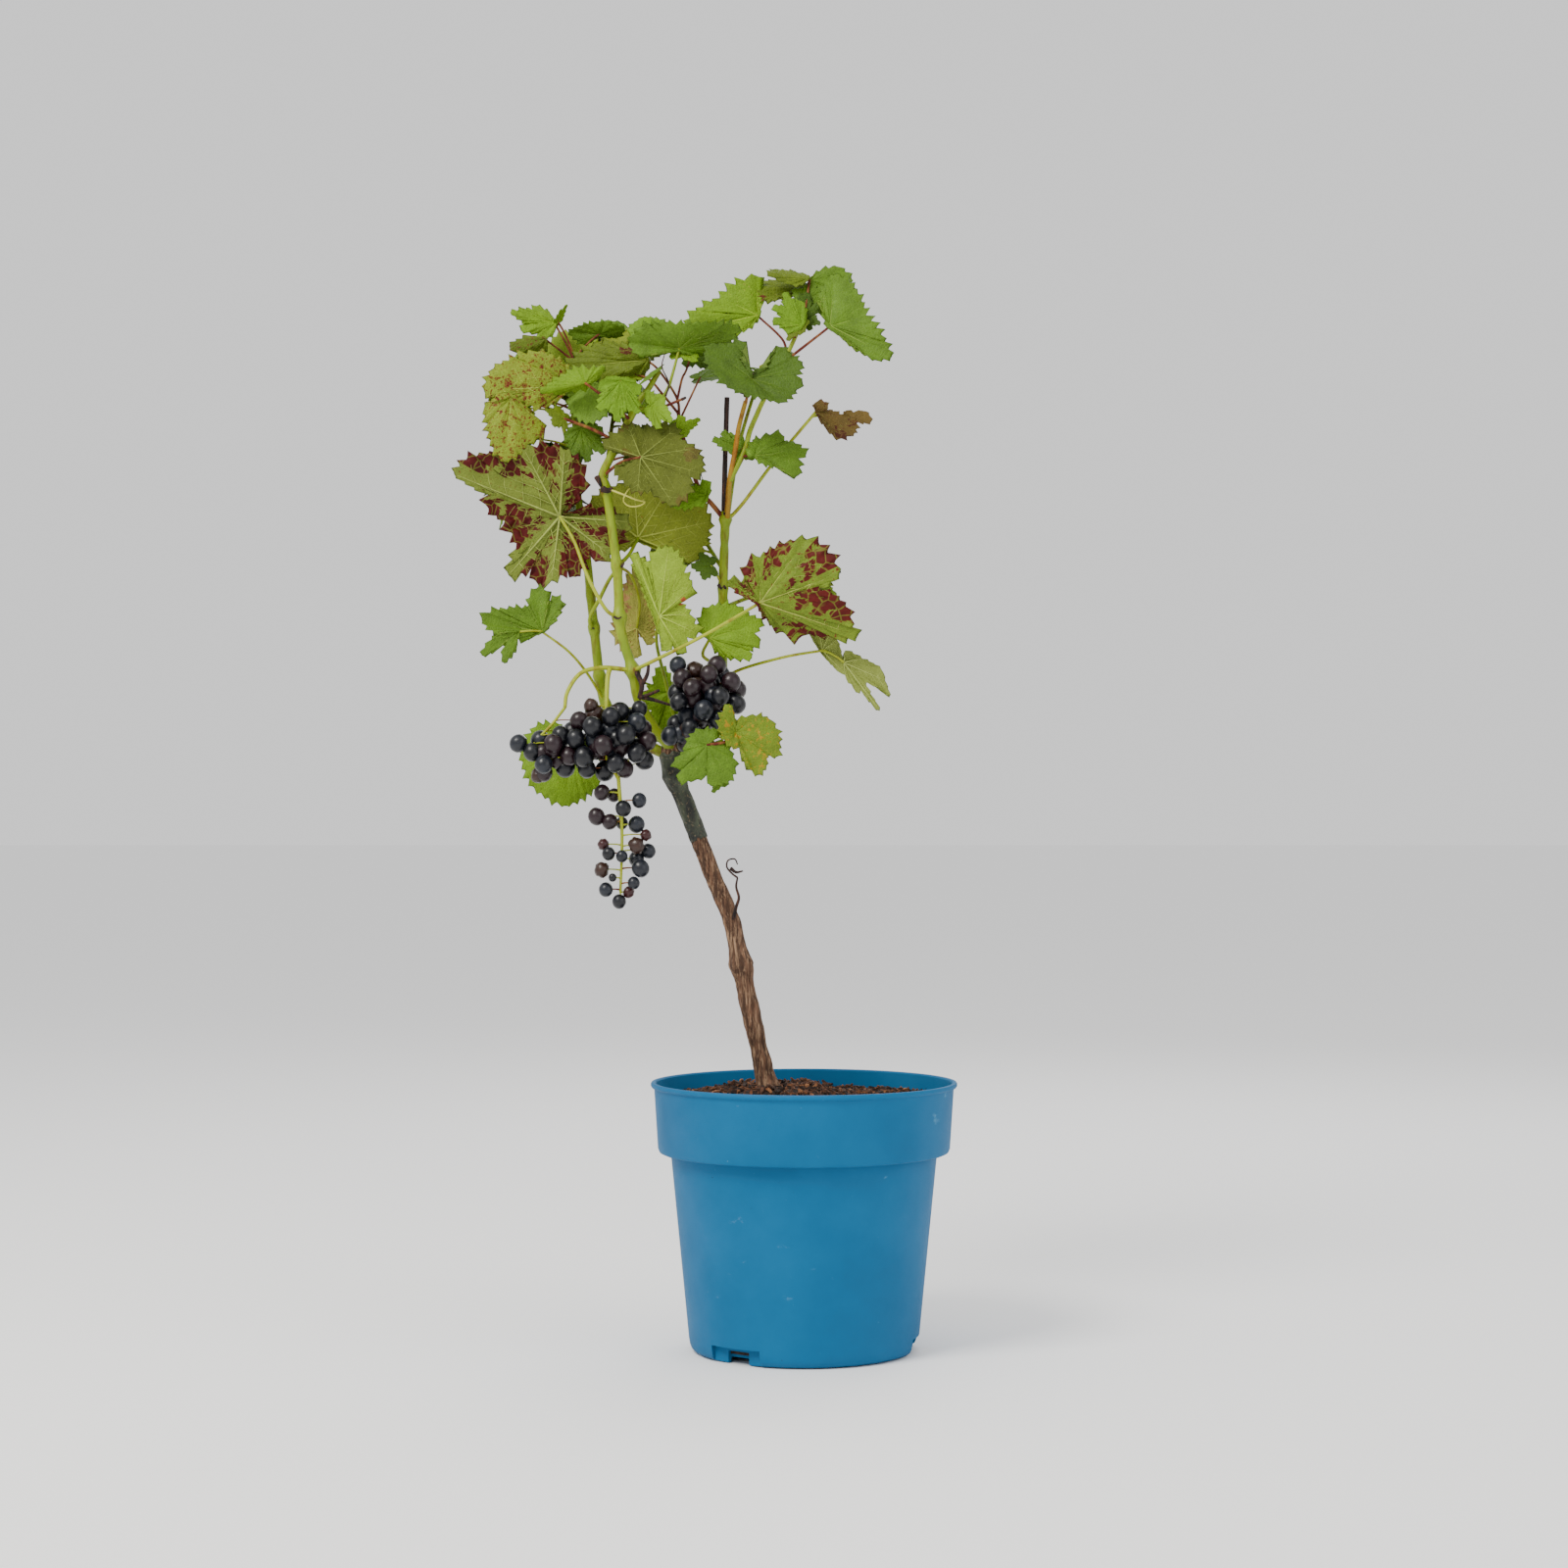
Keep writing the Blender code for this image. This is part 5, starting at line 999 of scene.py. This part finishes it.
def regular_reaches(middle, side):
    """The five veins of a regular leaf, from its middle lobe and one side lobe."""
    angle, share = LOBES[3]
    turn = math.radians(angle)
    across = (side / share - middle * math.cos(turn)) / math.sin(turn)
    return [(middle * math.cos(math.radians(a)) + across * math.sin(math.radians(a))) * s
            for a, s in LOBES]


def way_up(reaches):
    """The direction square to the blade on the side that its veins turn round."""
    return sum((here.cross(after) for here, after in zip(reaches, reaches[1:])), Vector()).normalized()


def nearest_below(stems, joint):
    """Where a stalk leaves: the closest place on the stems, lower than the blade if there is one."""
    best = None
    for stem in stems:
        for start, end in zip(stem, stem[1:]):
            for t in (0.0, 0.25, 0.5, 0.75, 1.0):
                place = start.lerp(end, t)
                cost = (place - joint).length + max(0.0, place.z - joint.z)
                if best is None or cost < best[0]:
                    best = (cost, place)
    return best[1]


def grow_stalk(sheaf, root, joint, rng, thick=0.95, finishes=(GREEN_STALK, GREEN_STALK, RED_STALK)):
    """A leaf stalk that arches a little and thickens at both ends."""
    run = joint - root
    sag = Vector((rng.uniform(-0.06, 0.06), rng.uniform(-0.06, 0.06), 0.05)) * run.length
    points = [(*root, 1.25), (*root.lerp(joint, 0.3) + sag * 0.8, 0.9),
              (*root.lerp(joint, 0.7) + sag * 0.7, 0.8), (*joint, 1.0)]
    line = [(Vector(p[:3]), p[3] * thick * MM) for p in rounded(points, STEM_STEP * MM)]
    sweep(sheaf, line, 7, rng.choice(finishes))


SHOOT_FROM = 1.45                # the radius from which a stem is a green shoot and not a red stalk
JOIN = 0.3                       # how far a stalk's end goes past the middle of its blade
FRONT = []                       # the blades that show from in front


def drawn_line(route, step=STEM_STEP):
    """(place, radius) points along a smooth line through drawn ones of (x, z, y, radius)."""
    return [(drawn(*point[:3]), point[3] * MM) for point in rounded(route, step)]


def grow_stem(sheaf, start, end, points, finish, step=STEM_STEP, sides=9):
    """A stem through drawn points, its radius changing evenly. Gives the places along it."""
    last = len(points) - 1
    line = drawn_line([(*point, start + (end - start) * i / last) for i, point in enumerate(points)], step)
    sweep(sheaf, line, sides, finish)
    return [place for place, _ in line]


def set_spray(name, slot, green, wood):
    """Sets down the blades in place of the spray's solid, and its shoots and stalks beside them."""
    finishes = [finish for tint in green.tints for finish in tint_finishes(tint)]
    green.made(name + "_blades", slot, finishes, [name])
    wood.made(name + "_stalks", slot, STALK_FINISHES)


def grow_spray(name, plan):
    """One spray: shoots and stalks as one piece, blades and veins as the other."""
    rng = random.Random(name)
    wood, green = Sheaf(), Sheaf(leaf[0].replace("_under", "") for leaf in plan["leaves"])
    stems, lone, others = [], name.startswith("leaf_"), plan.get("other", {})
    for start, end, *points in plan["stems"]:
        usual = GREEN_STALK if lone else SHOOT if start > SHOOT_FROM else RED_STALK
        stems.append(grow_stem(wood, start, end, points, others.get(len(stems), usual)))
    for tint, joint, *reaches in plan["leaves"]:
        spread = (1.0 + joint[2] / -EYE.y) * MM
        joint = drawn(*joint)
        reaches = [Vector((x, y, z)) * spread for x, z, y in reaches]
        reaches = regular_reaches(*reaches) if len(reaches) == 2 else reaches
        up = way_up(reaches)
        shows_upper = not tint.endswith("_under")
        if (up.dot(EYE * MM - joint) > 0) != shows_upper:
            up = -up
        grow_blade(green, joint, reaches, up, tint.replace("_under", ""), rng, bold=plan.get("teeth", 1.0))
        root = nearest_below(stems, joint)
        if (root - joint).length > 2 * MM:
            grow_stalk(wood, root, joint - up * JOIN * MM, rng,
                       finishes=[GREEN_STALK if lone else RED_STALK])
    FRONT.append(BVHTree.FromPolygons(green.corners, green.faces))
    slot = "leaf_red" if "red_" in name else "leaf_dry" if "dry" in name else "leaves"
    set_spray(name, slot, green, wood)


for spray_name, spray in MASSES.items():
    grow_spray(spray_name, spray)

# The far side of the crown. Each shoot runs back from its limb into its own room. Its leaves grow
# round it one after another, a fixed turn apart, with small young ones between the grown ones. A leaf
# that would leave the room, touch its neighbours or show past the front of the crown isn't grown.
BACK_SPRAYS = {                  # limb, root, centre of the room, its half width, height and depth, leaves
    "leaves_back_left": ("cane_left", (-173, 650, 11), (-192, 722, 76), (52, 44, 46), 6),
    "leaves_back_middle": ("cane_middle", (-150, 645, -21), (-136, 738, 70), (54, 48, 50), 5),
    "leaves_back_centre": ("cane_right", (-61, 585, 4), (-112, 640, 66), (46, 46, 46), 5),
    "leaves_back_right": ("cane_right", (-60, 606, 2), (-33, 735, 66), (46, 44, 46), 5),
    "leaves_back_red": ("cane_left", (-166, 612, 10), (-196, 626, 60), (46, 42, 44), 5),
    "leaves_back_side": ("cane_right", (-61, 556, 6), (-8, 571, 56), (44, 36, 44), 4),
    "leaves_back_low": ("trunk", (-98, 434, 4), (-120, 474, 64), (56, 40, 44), 5),
}
BACK_LEAF, YOUNG_LEAF = (24.0, 38.0), (17.0, 29.0)    # the least and the most reach of a middle lobe
YOUNG_BEYOND, YOUNG_NEARER = 8.0, 60.0     # how far young leaves go past their room, and to its front
TRIES, YOUNG_TRIES, YOUNG_SHARE = 40, 400, 10         # for each leaf that the room is planned for
SHOOT_REACH = 4.0                # how close to its shoot a leaf's root is
SHORTEST = 16                    # the least number of points on a shoot
TURN = 137.5                     # degrees from one leaf of a shoot to the next
BACK_TINTS = ("mid", "bright", "deep", "grey", "mid", "light", "olive", "vivid", "yellow")


def tree_of(piece):
    """The piece's faces, sorted so that what meets them is found quickly."""
    work = bmesh.new()
    work.from_mesh(piece.data)
    tree = BVHTree.FromBMesh(work)
    work.free()
    return tree


def hidden(place, trees):
    """Whether something nearer stands between the eye and this place."""
    sight = place - EYE * MM
    return any(tree.ray_cast(EYE * MM, sight.normalized(), sight.length)[0] for tree in trees)


def next_leaf(rng, i, young, route, line):
    """Where leaf number i leaves the shoot, where its blade starts, and the reaches of its veins."""
    root, bend, centre, tip = route
    along = rng.uniform(-0.7 if young else 0.3, 2.0)
    low, high = (root, bend) if along < 0 else (bend, centre) if along < 1.0 else (centre, tip)
    place = drawn(*low).lerp(drawn(*high), along % 1.0)
    if min((place - spot).length for spot, _ in line) > SHOOT_REACH * MM:
        return None
    turn = math.radians(TURN * i + rng.uniform(-20, 20))
    outward = Vector((math.cos(turn), math.sin(turn), 0))
    away, rise = rng.uniform(8, 40 if young else 20), rng.uniform(0, 8)
    joint = place + (outward * away + Vector((0, 0, rise))) * MM
    droop = math.radians(rng.uniform(30, 85) if young else rng.uniform(10, 50))
    reach = rng.uniform(*(YOUNG_LEAF if young else BACK_LEAF)) * MM
    middle = (outward * math.cos(droop) - Vector((0, 0, math.sin(droop)))) * reach
    sideways = Vector((-outward.y, outward.x, rng.uniform(-0.3, 0.3))).normalized() * reach
    angle, share = math.radians(LOBES[3][0]), LOBES[3][1]
    side = (middle * math.cos(angle) + sideways * math.sin(angle)) * share
    return place, joint, regular_reaches(middle, side)


def in_room(tips, young, centre, half):
    """Whether the leaf stays in its shoot's room. A young one may go a little further."""
    room, reaches = drawn(*centre), [reach * MM for reach in (half[0], half[2], half[1])]
    beyond = (YOUNG_BEYOND * MM, YOUNG_BEYOND * MM, 3 * YOUNG_BEYOND * MM)
    nearer = (YOUNG_BEYOND * MM, YOUNG_NEARER * MM, 6 * YOUNG_BEYOND * MM)
    return all(abs(end[k] - room[k]) <= reaches[k] + young * (beyond if end[k] > room[k] else nearer)[k]
               for end in tips for k in range(3))


def behind_crown(place, joint, tips, young, crown):
    """Whether the crown hides the whole leaf from the eye, and a young one its stalk too."""
    spots = [joint.lerp(end, share) for end in tips for share in (0.5, 1.0)]
    if young:
        spots += [joint.lerp(here.lerp(after, 0.5), 0.8) for here, after in zip(tips, tips[1:])]
        spots += [place.lerp(joint, share) for share in (0.25, 0.6)]
    return (all(hidden(spot, crown) for spot in spots)
            and all(hidden(spot, FRONT) for spot in tips[1:4] + [joint] * young))


standing = {name: tree_of(node) for name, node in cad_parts.items()
            if name not in BACK_SPRAYS and name not in ("pot", "soil")}
for spray_name, (limb, root, centre, half, count) in BACK_SPRAYS.items():
    rng, fine = random.Random(spray_name), random.Random(spray_name + "_fine")
    others = [tree for name, tree in standing.items() if name != limb]
    crown = FRONT + others
    tip = (centre[0], centre[1] + 0.5 * half[1], centre[2] + 0.2 * half[2])
    bend = (0.6 * root[0] + 0.4 * centre[0], 0.45 * root[1] + 0.55 * centre[1],
            0.35 * root[2] + 0.65 * centre[2] - 0.3 * half[2])
    route = (root, bend, centre, tip)
    wood, green = Sheaf(), Sheaf(BACK_TINTS)
    line = drawn_line([(*point, radius) for point, radius in zip(route, (1.7, 1.5, 1.3, 1.1))])
    while len(line) > SHORTEST and not hidden(line[-1][0], crown):
        line.pop()
    sweep(wood, line, 8, SHOOT)
    grown, taken = 0, []
    for i in range(count * (TRIES + YOUNG_TRIES)):
        young = i >= count * TRIES
        if young and grown >= count * YOUNG_SHARE:
            break
        if not young and grown >= count:
            continue
        leaf = next_leaf(rng, i, young, route, line)
        if leaf is None:
            continue
        place, joint, reaches = leaf
        tips = [joint + reach for reach in reaches]
        if not in_room(tips, young, centre, half) or not behind_crown(place, joint, tips, young, crown):
            continue
        fan = BVHTree.FromPolygons([joint, *tips], [(0, k, k + 1) for k in range(1, 5)])
        if any(fan.overlap(tree) for tree in others + taken):
            continue
        taken.append(fan)
        up = way_up(reaches)
        up = up if up.z > 0 else -up
        tint = fine.choice(BACK_TINTS)
        grow_blade(green, joint, reaches, up, tint, fine, FEW_RINGS if young else RINGS[1::2])
        grow_stalk(wood, place, joint - up * JOIN * MM, fine, 0.9)
        grown += 1
    standing[spray_name] = tree_of(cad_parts[spray_name])
    set_spray(spray_name, "leaves", green, wood)

# The grapes. Two bunches of small blue-black berries, 12 to 15 mm across, with a pale bloom, some
# still purple or red and a few shrivelled. Each hangs from a joint of its cane on a green stalk that
# branches, with close clusters of berries, and the left one ends in a long sparse tail.
BUNCHES = {                      # a cluster: centre, half width, height and depth, berries, radius
    "grapes_left": dict(
        stems=(
            (1.9, 1.4, (-129, 509, -17), (-151, 511, -26), (-168, 507, -34), (-178, 493, -40),
             (-180, 481, -42)),
            (1.2, 0.8, (-180, 481, -42), (-190, 468, -42), (-204, 452, -42), (-201, 438, -42)),
            (1.9, 1.5, (-146, 511, -24), (-148, 501, -32), (-149, 471, -42), (-150, 449, -43),
             (-140, 428, -43)),
            (1.5, 1.0, (-140, 432, -43), (-138, 408, -43), (-137, 390, -43), (-137, 372, -43),
             (-138, 342, -43)),
        ),
        clusters=(
            ((-147, 455, -43), (31, 24, 18), 28, 7.2),
            ((-190, 446, -43), (16, 15, 12), 10, 7.0),
        ),
        loose=((-215, 454, -42, 6.6), (-200, 430, -40, 5.5), (-160, 482, -40, 5.8), (-124, 480, -40, 6.0),
               (-141, 477, -44, 6.4), (-152, 417, -44, 5.9), (-143, 415, -36, 5.0), (-124, 411, -46, 5.5),
               (-136, 405, -50, 5.9), (-156, 399, -44, 6.4), (-146, 395, -46, 5.8), (-137, 394, -36, 4.6),
               (-126, 393, -42, 6.2), (-119, 385, -44, 4.2), (-126, 377, -47, 5.9), (-117, 373, -38, 5.4),
               (-151, 378, -43, 4.2), (-147, 371, -48, 4.9), (-137, 369, -49, 4.4), (-126, 367, -36, 5.8),
               (-123, 360, -46, 6.6), (-152, 359, -42, 5.5), (-144, 353, -48, 3.0), (-128, 349, -46, 4.6),
               (-132, 342, -40, 4.2), (-149, 344, -44, 5.3), (-139, 335, -43, 5.2)),
    ),
    "grapes_right": dict(
        stems=(
            (1.8, 1.3, (-62, 505, 9), (-72, 506, -4), (-78, 494, -20), (-80, 470, -26), (-82, 452, -28)),
        ),
        clusters=(
            ((-73, 491, -31), (24, 22, 17), 20, 7.2),
            ((-87, 463, -30), (15, 11, 11), 7, 7.0),
        ),
        loose=((-95, 513, -30, 6.4),),
    ),
}
BERRY_SKINS = {                  # skin, bloom
    "ripe": ((4, 4, 7), (16, 19, 28)), "dusky": ((7, 8, 12), (30, 36, 48)),
    "purple": ((20, 6, 10), (38, 20, 28)), "red": ((44, 8, 10), (60, 26, 26)),
    "brown": ((34, 16, 10), (56, 34, 24)),
}
RIPENESS = ("ripe",) * 8 + ("dusky",) * 4 + ("purple",) * 6 + ("brown",) * 2


def berry_finish(name, skin, bloom):
    """Waxy skin under a bloom that is rubbed off in patches, and is rough where it is left."""
    waxed, dust = (bloom, 110.0, 0.2, 0.3), (darker(bloom, 1.25), 900.0, 0.04, 0.15)
    return clouded_finish(name, skin, (waxed, dust), (0.24, 0.55), 0.00008, Specular_IOR_Level=0.35,
                          Coat_Weight=0.12, Coat_Roughness=0.15)


BERRY_FINISHES = [berry_finish("berry_" + name, *skin) for name, skin in BERRY_SKINS.items()]
BERRY_SIDES, BERRY_RINGS = 14, 9
BERRY_LONG, INNER_AT, INNER_SIZE = 1.07, 0.45, 0.95
SMALL_BERRY = 5.0                # below this radius a berry is often still red


def grow_berry(sheaf, centre, radius, rng, small):
    """One berry, a little longer than wide, dimpled if it has shrivelled, its scar at the tip."""
    ripe = "red" if small and rng.random() < 0.5 else rng.choice(RIPENESS)
    shrunk = 0.22 if ripe in ("brown", "red") else 0.03
    axis = Vector((rng.uniform(-0.5, 0.5), rng.uniform(-0.5, 0.5), 1)).normalized()
    turn = axis.to_track_quat("Z", "X").to_matrix()
    seed = Vector((rng.uniform(0, 50), 0, 0))
    corners = [Vector((0, 0, -0.97))]
    for lie in (math.pi * i / BERRY_RINGS for i in range(1, BERRY_RINGS)):
        corners += [Vector((math.sin(lie) * math.cos(a), math.sin(lie) * math.sin(a), -math.cos(lie)))
                    for a in turns_of(BERRY_SIDES)]
    corners.append(Vector((0, 0, 1)))
    places = []
    for corner in corners:
        swell = 1 + shrunk * noise.noise(corner * 2.1 + seed)
        long = Vector((corner.x, corner.y, corner.z * BERRY_LONG))
        places.append(centre + turn @ long * (radius * swell * MM))
    sheaf.add(places, ring_faces(BERRY_RINGS - 1, BERRY_SIDES), list(BERRY_SKINS).index(ripe))


def cluster_places(rng, centre, half, count, radius):
    """Berries spread evenly over an ellipsoid, turned by the golden angle from one to the next."""
    for i in range(count):
        height, turn = 1 - (2 * i + 1) / count, math.radians(TURN * i)
        flat = math.sqrt(1 - height ** 2)
        reach = [flat * math.cos(turn), height, flat * math.sin(turn)]
        place = [middle + axis * share * rng.uniform(0.92, 1.06)
                 for middle, axis, share in zip(centre, half, reach)]
        yield (*place, radius * rng.uniform(0.92, 1.06))


for bunch_name, bunch in BUNCHES.items():
    rng, skin = random.Random(bunch_name), random.Random(bunch_name + "_skin")
    wood, fruit = Sheaf(), Sheaf()
    stems = [grow_stem(wood, start, end, points, GREEN_STALK) for start, end, *points in bunch["stems"]]
    berries = []
    for centre, half, count, radius in bunch["clusters"]:
        outer = list(cluster_places(rng, centre, half, count, radius))
        inner = [(*(c + (v - c) * INNER_AT for v, c in zip(place, centre)), radius * INNER_SIZE)
                 for place in outer[::2]]
        berries += [(place, False) for place in outer + inner]
    berries += [(place, True) for place in bunch["loose"]]
    for (*place, radius), loose in berries:
        centre = drawn(*place)
        grow_berry(fruit, centre, radius, skin, radius < SMALL_BERRY)
        grow_stalk(wood, nearest_below(stems, centre), centre, skin, 0.62 if loose else 0.5)
    fruit.made(bunch_name + "_berries", "grapes", BERRY_FINISHES, [bunch_name])
    wood.made(bunch_name + "_stalks", "grapes", STALK_FINISHES)

# Small things on the shoots. A curled green tendril, a dried bunch stalk, a dead tendril, a short
# black-tipped twig, the stub of a cut leaf, and a dry curl of tendril against the trunk.
SMALL_STEMS = (                  # finish, radius at the root and the end, points
    (TENDRIL, 0.8, 0.5, (-148, 646, -24), (-137, 642, -31), (-127, 638, -33), (-120, 636, -32),
     (-125, 633, -30), (-132, 633, -29), (-136, 637, -30), (-134, 643, -32), (-131, 647, -31)),
    (DEAD, 2.2, 1.6, (-126, 508, -20), (-122, 498, -25), (-124, 488, -25)),
    (DEAD, 1.8, 1.1, (-122, 498, -25), (-118, 506, -27), (-117, 513, -28)),
    (DEAD, 1.6, 1.1, (-124, 488, -25), (-116, 491, -27), (-109, 494, -28)),
    (DEAD, 1.8, 0.7, (-123, 489, -25), (-114, 487, -26), (-104, 484, -27), (-91, 480, -27)),
    (DEAD, 0.6, 0.4, (-104, 716, -24), (-102, 726, -26), (-107, 738, -27), (-105, 748, -26)),
    (RED_STALK, 1.2, 1.0, (-120, 702, -24), (-108, 707, -26), (-91, 714, -28)),
    (DEAD, 1.3, 0.9, (-92, 713.4, -28), (-89, 715, -28)),
    (DEAD, 2.4, 1.0, (-156, 655, -23), (-153, 648, -25.5)),
    (DEAD, 2.6, 1.6, (-152, 646, -25.5), (-148, 644.5, -26), (-144.5, 646, -25)),
    (DEAD, 1.2, 0.6, (-137.5, 587, -22.5), (-135.5, 590, -22)),
    (DEAD, 1.0, 0.5, (-143, 549.5, -23), (-140, 548, -23.5), (-137.5, 549.5, -23)),
    (DEAD, 0.9, 0.5, (-161, 541.5, 5.5), (-158, 540.5, 4.5)),
    (SHOOT, 1.8, 1.3, (-160, 541, 6), (-161, 549, 2), (-154, 563, -4), (-147, 577, -10), (-142, 584, -14)),
    (DEAD, 1.5, 0.8, (-60, 627, -3.5), (-57, 629, -4)),
    (DEAD, 1.4, 0.8, (-64.5, 573.5, 1), (-62, 570.5, 0)),
    (DEAD, 1.3, 0.7, (-60.5, 572.5, 0), (-58.5, 570.5, 1)),
    (DEAD, 1.5, 0.7, (-53, 322, -6), (-51, 331, -11), (-49, 338, -12), (-51, 346, -12), (-50, 353, -12)),
    (DEAD, 0.8, 0.5, (-50, 353, -12), (-54, 356, -12), (-58, 361, -13), (-57, 366, -13), (-52, 367, -13),
     (-50, 363, -14)),
    (DEAD, 1.5, 0.6, (-55, 360, -12), (-51, 357, -13), (-46, 358, -14)),
)
small = Sheaf()
for finish, start, end, *points in SMALL_STEMS:
    grow_stem(small, start, end, points, finish, step=1.5, sides=7)
small.made("tendrils_and_stubs", "cane", STALK_FINISHES)

# The floor, the light and the view. A plain pale floor, soft daylight from the upper left, and the
# camera where the plant was seen from. None of these is part of the object.
bpy.ops.object.select_all(action="DESELECT")
bpy.ops.mesh.primitive_plane_add(size=120, location=(0, 0, -0.0005))
floor = bpy.context.object
floor.name = "floor"
floor.data.materials.append(new_finish("pale_floor", Roughness=0.9, Base_Color=(0.93, 0.93, 0.93, 1))[0])

sky = bpy.data.worlds.new("sky")
sky.use_nodes = True
daylight = sky.node_tree.nodes["Background"].inputs
daylight["Color"].default_value = (1.0, 1.0, 1.0, 1)
daylight["Strength"].default_value = 1.0
bpy.context.scene.world = sky
CROWN = Vector((-0.06, 0, 0.45))


def add_lamp(name, place, size, power, tint):
    """A square lamp, size metres wide, that shines at the crown."""
    lamp = bpy.data.lights.new(name, "AREA")
    lamp.size, lamp.energy, lamp.color = size, power, tint
    holder = bpy.data.objects.new(name, lamp)
    holder.location = place
    holder.rotation_euler = (CROWN - Vector(place)).to_track_quat("-Z", "Y").to_euler()
    bpy.context.scene.collection.objects.link(holder)


add_lamp("key_light", (-1.3, -1.5, 2.3), 1.0, 75, (1.0, 0.97, 0.9))
add_lamp("fill_light", (1.9, -1.5, 1.2), 1.8, 14, (1.0, 1.0, 1.0))
add_lamp("rim_light", (0.6, 1.8, 1.9), 1.5, 18, (1.0, 1.0, 1.0))

camera = bpy.data.cameras.new("camera")
camera.lens, camera.sensor_width = 65.8, 36.0
viewer = bpy.data.objects.new("camera", camera)
viewer.location = EYE * MM
viewer.rotation_euler = (math.radians(90.862), 0, 0)
bpy.context.scene.collection.objects.link(viewer)
bpy.context.scene.camera = viewer
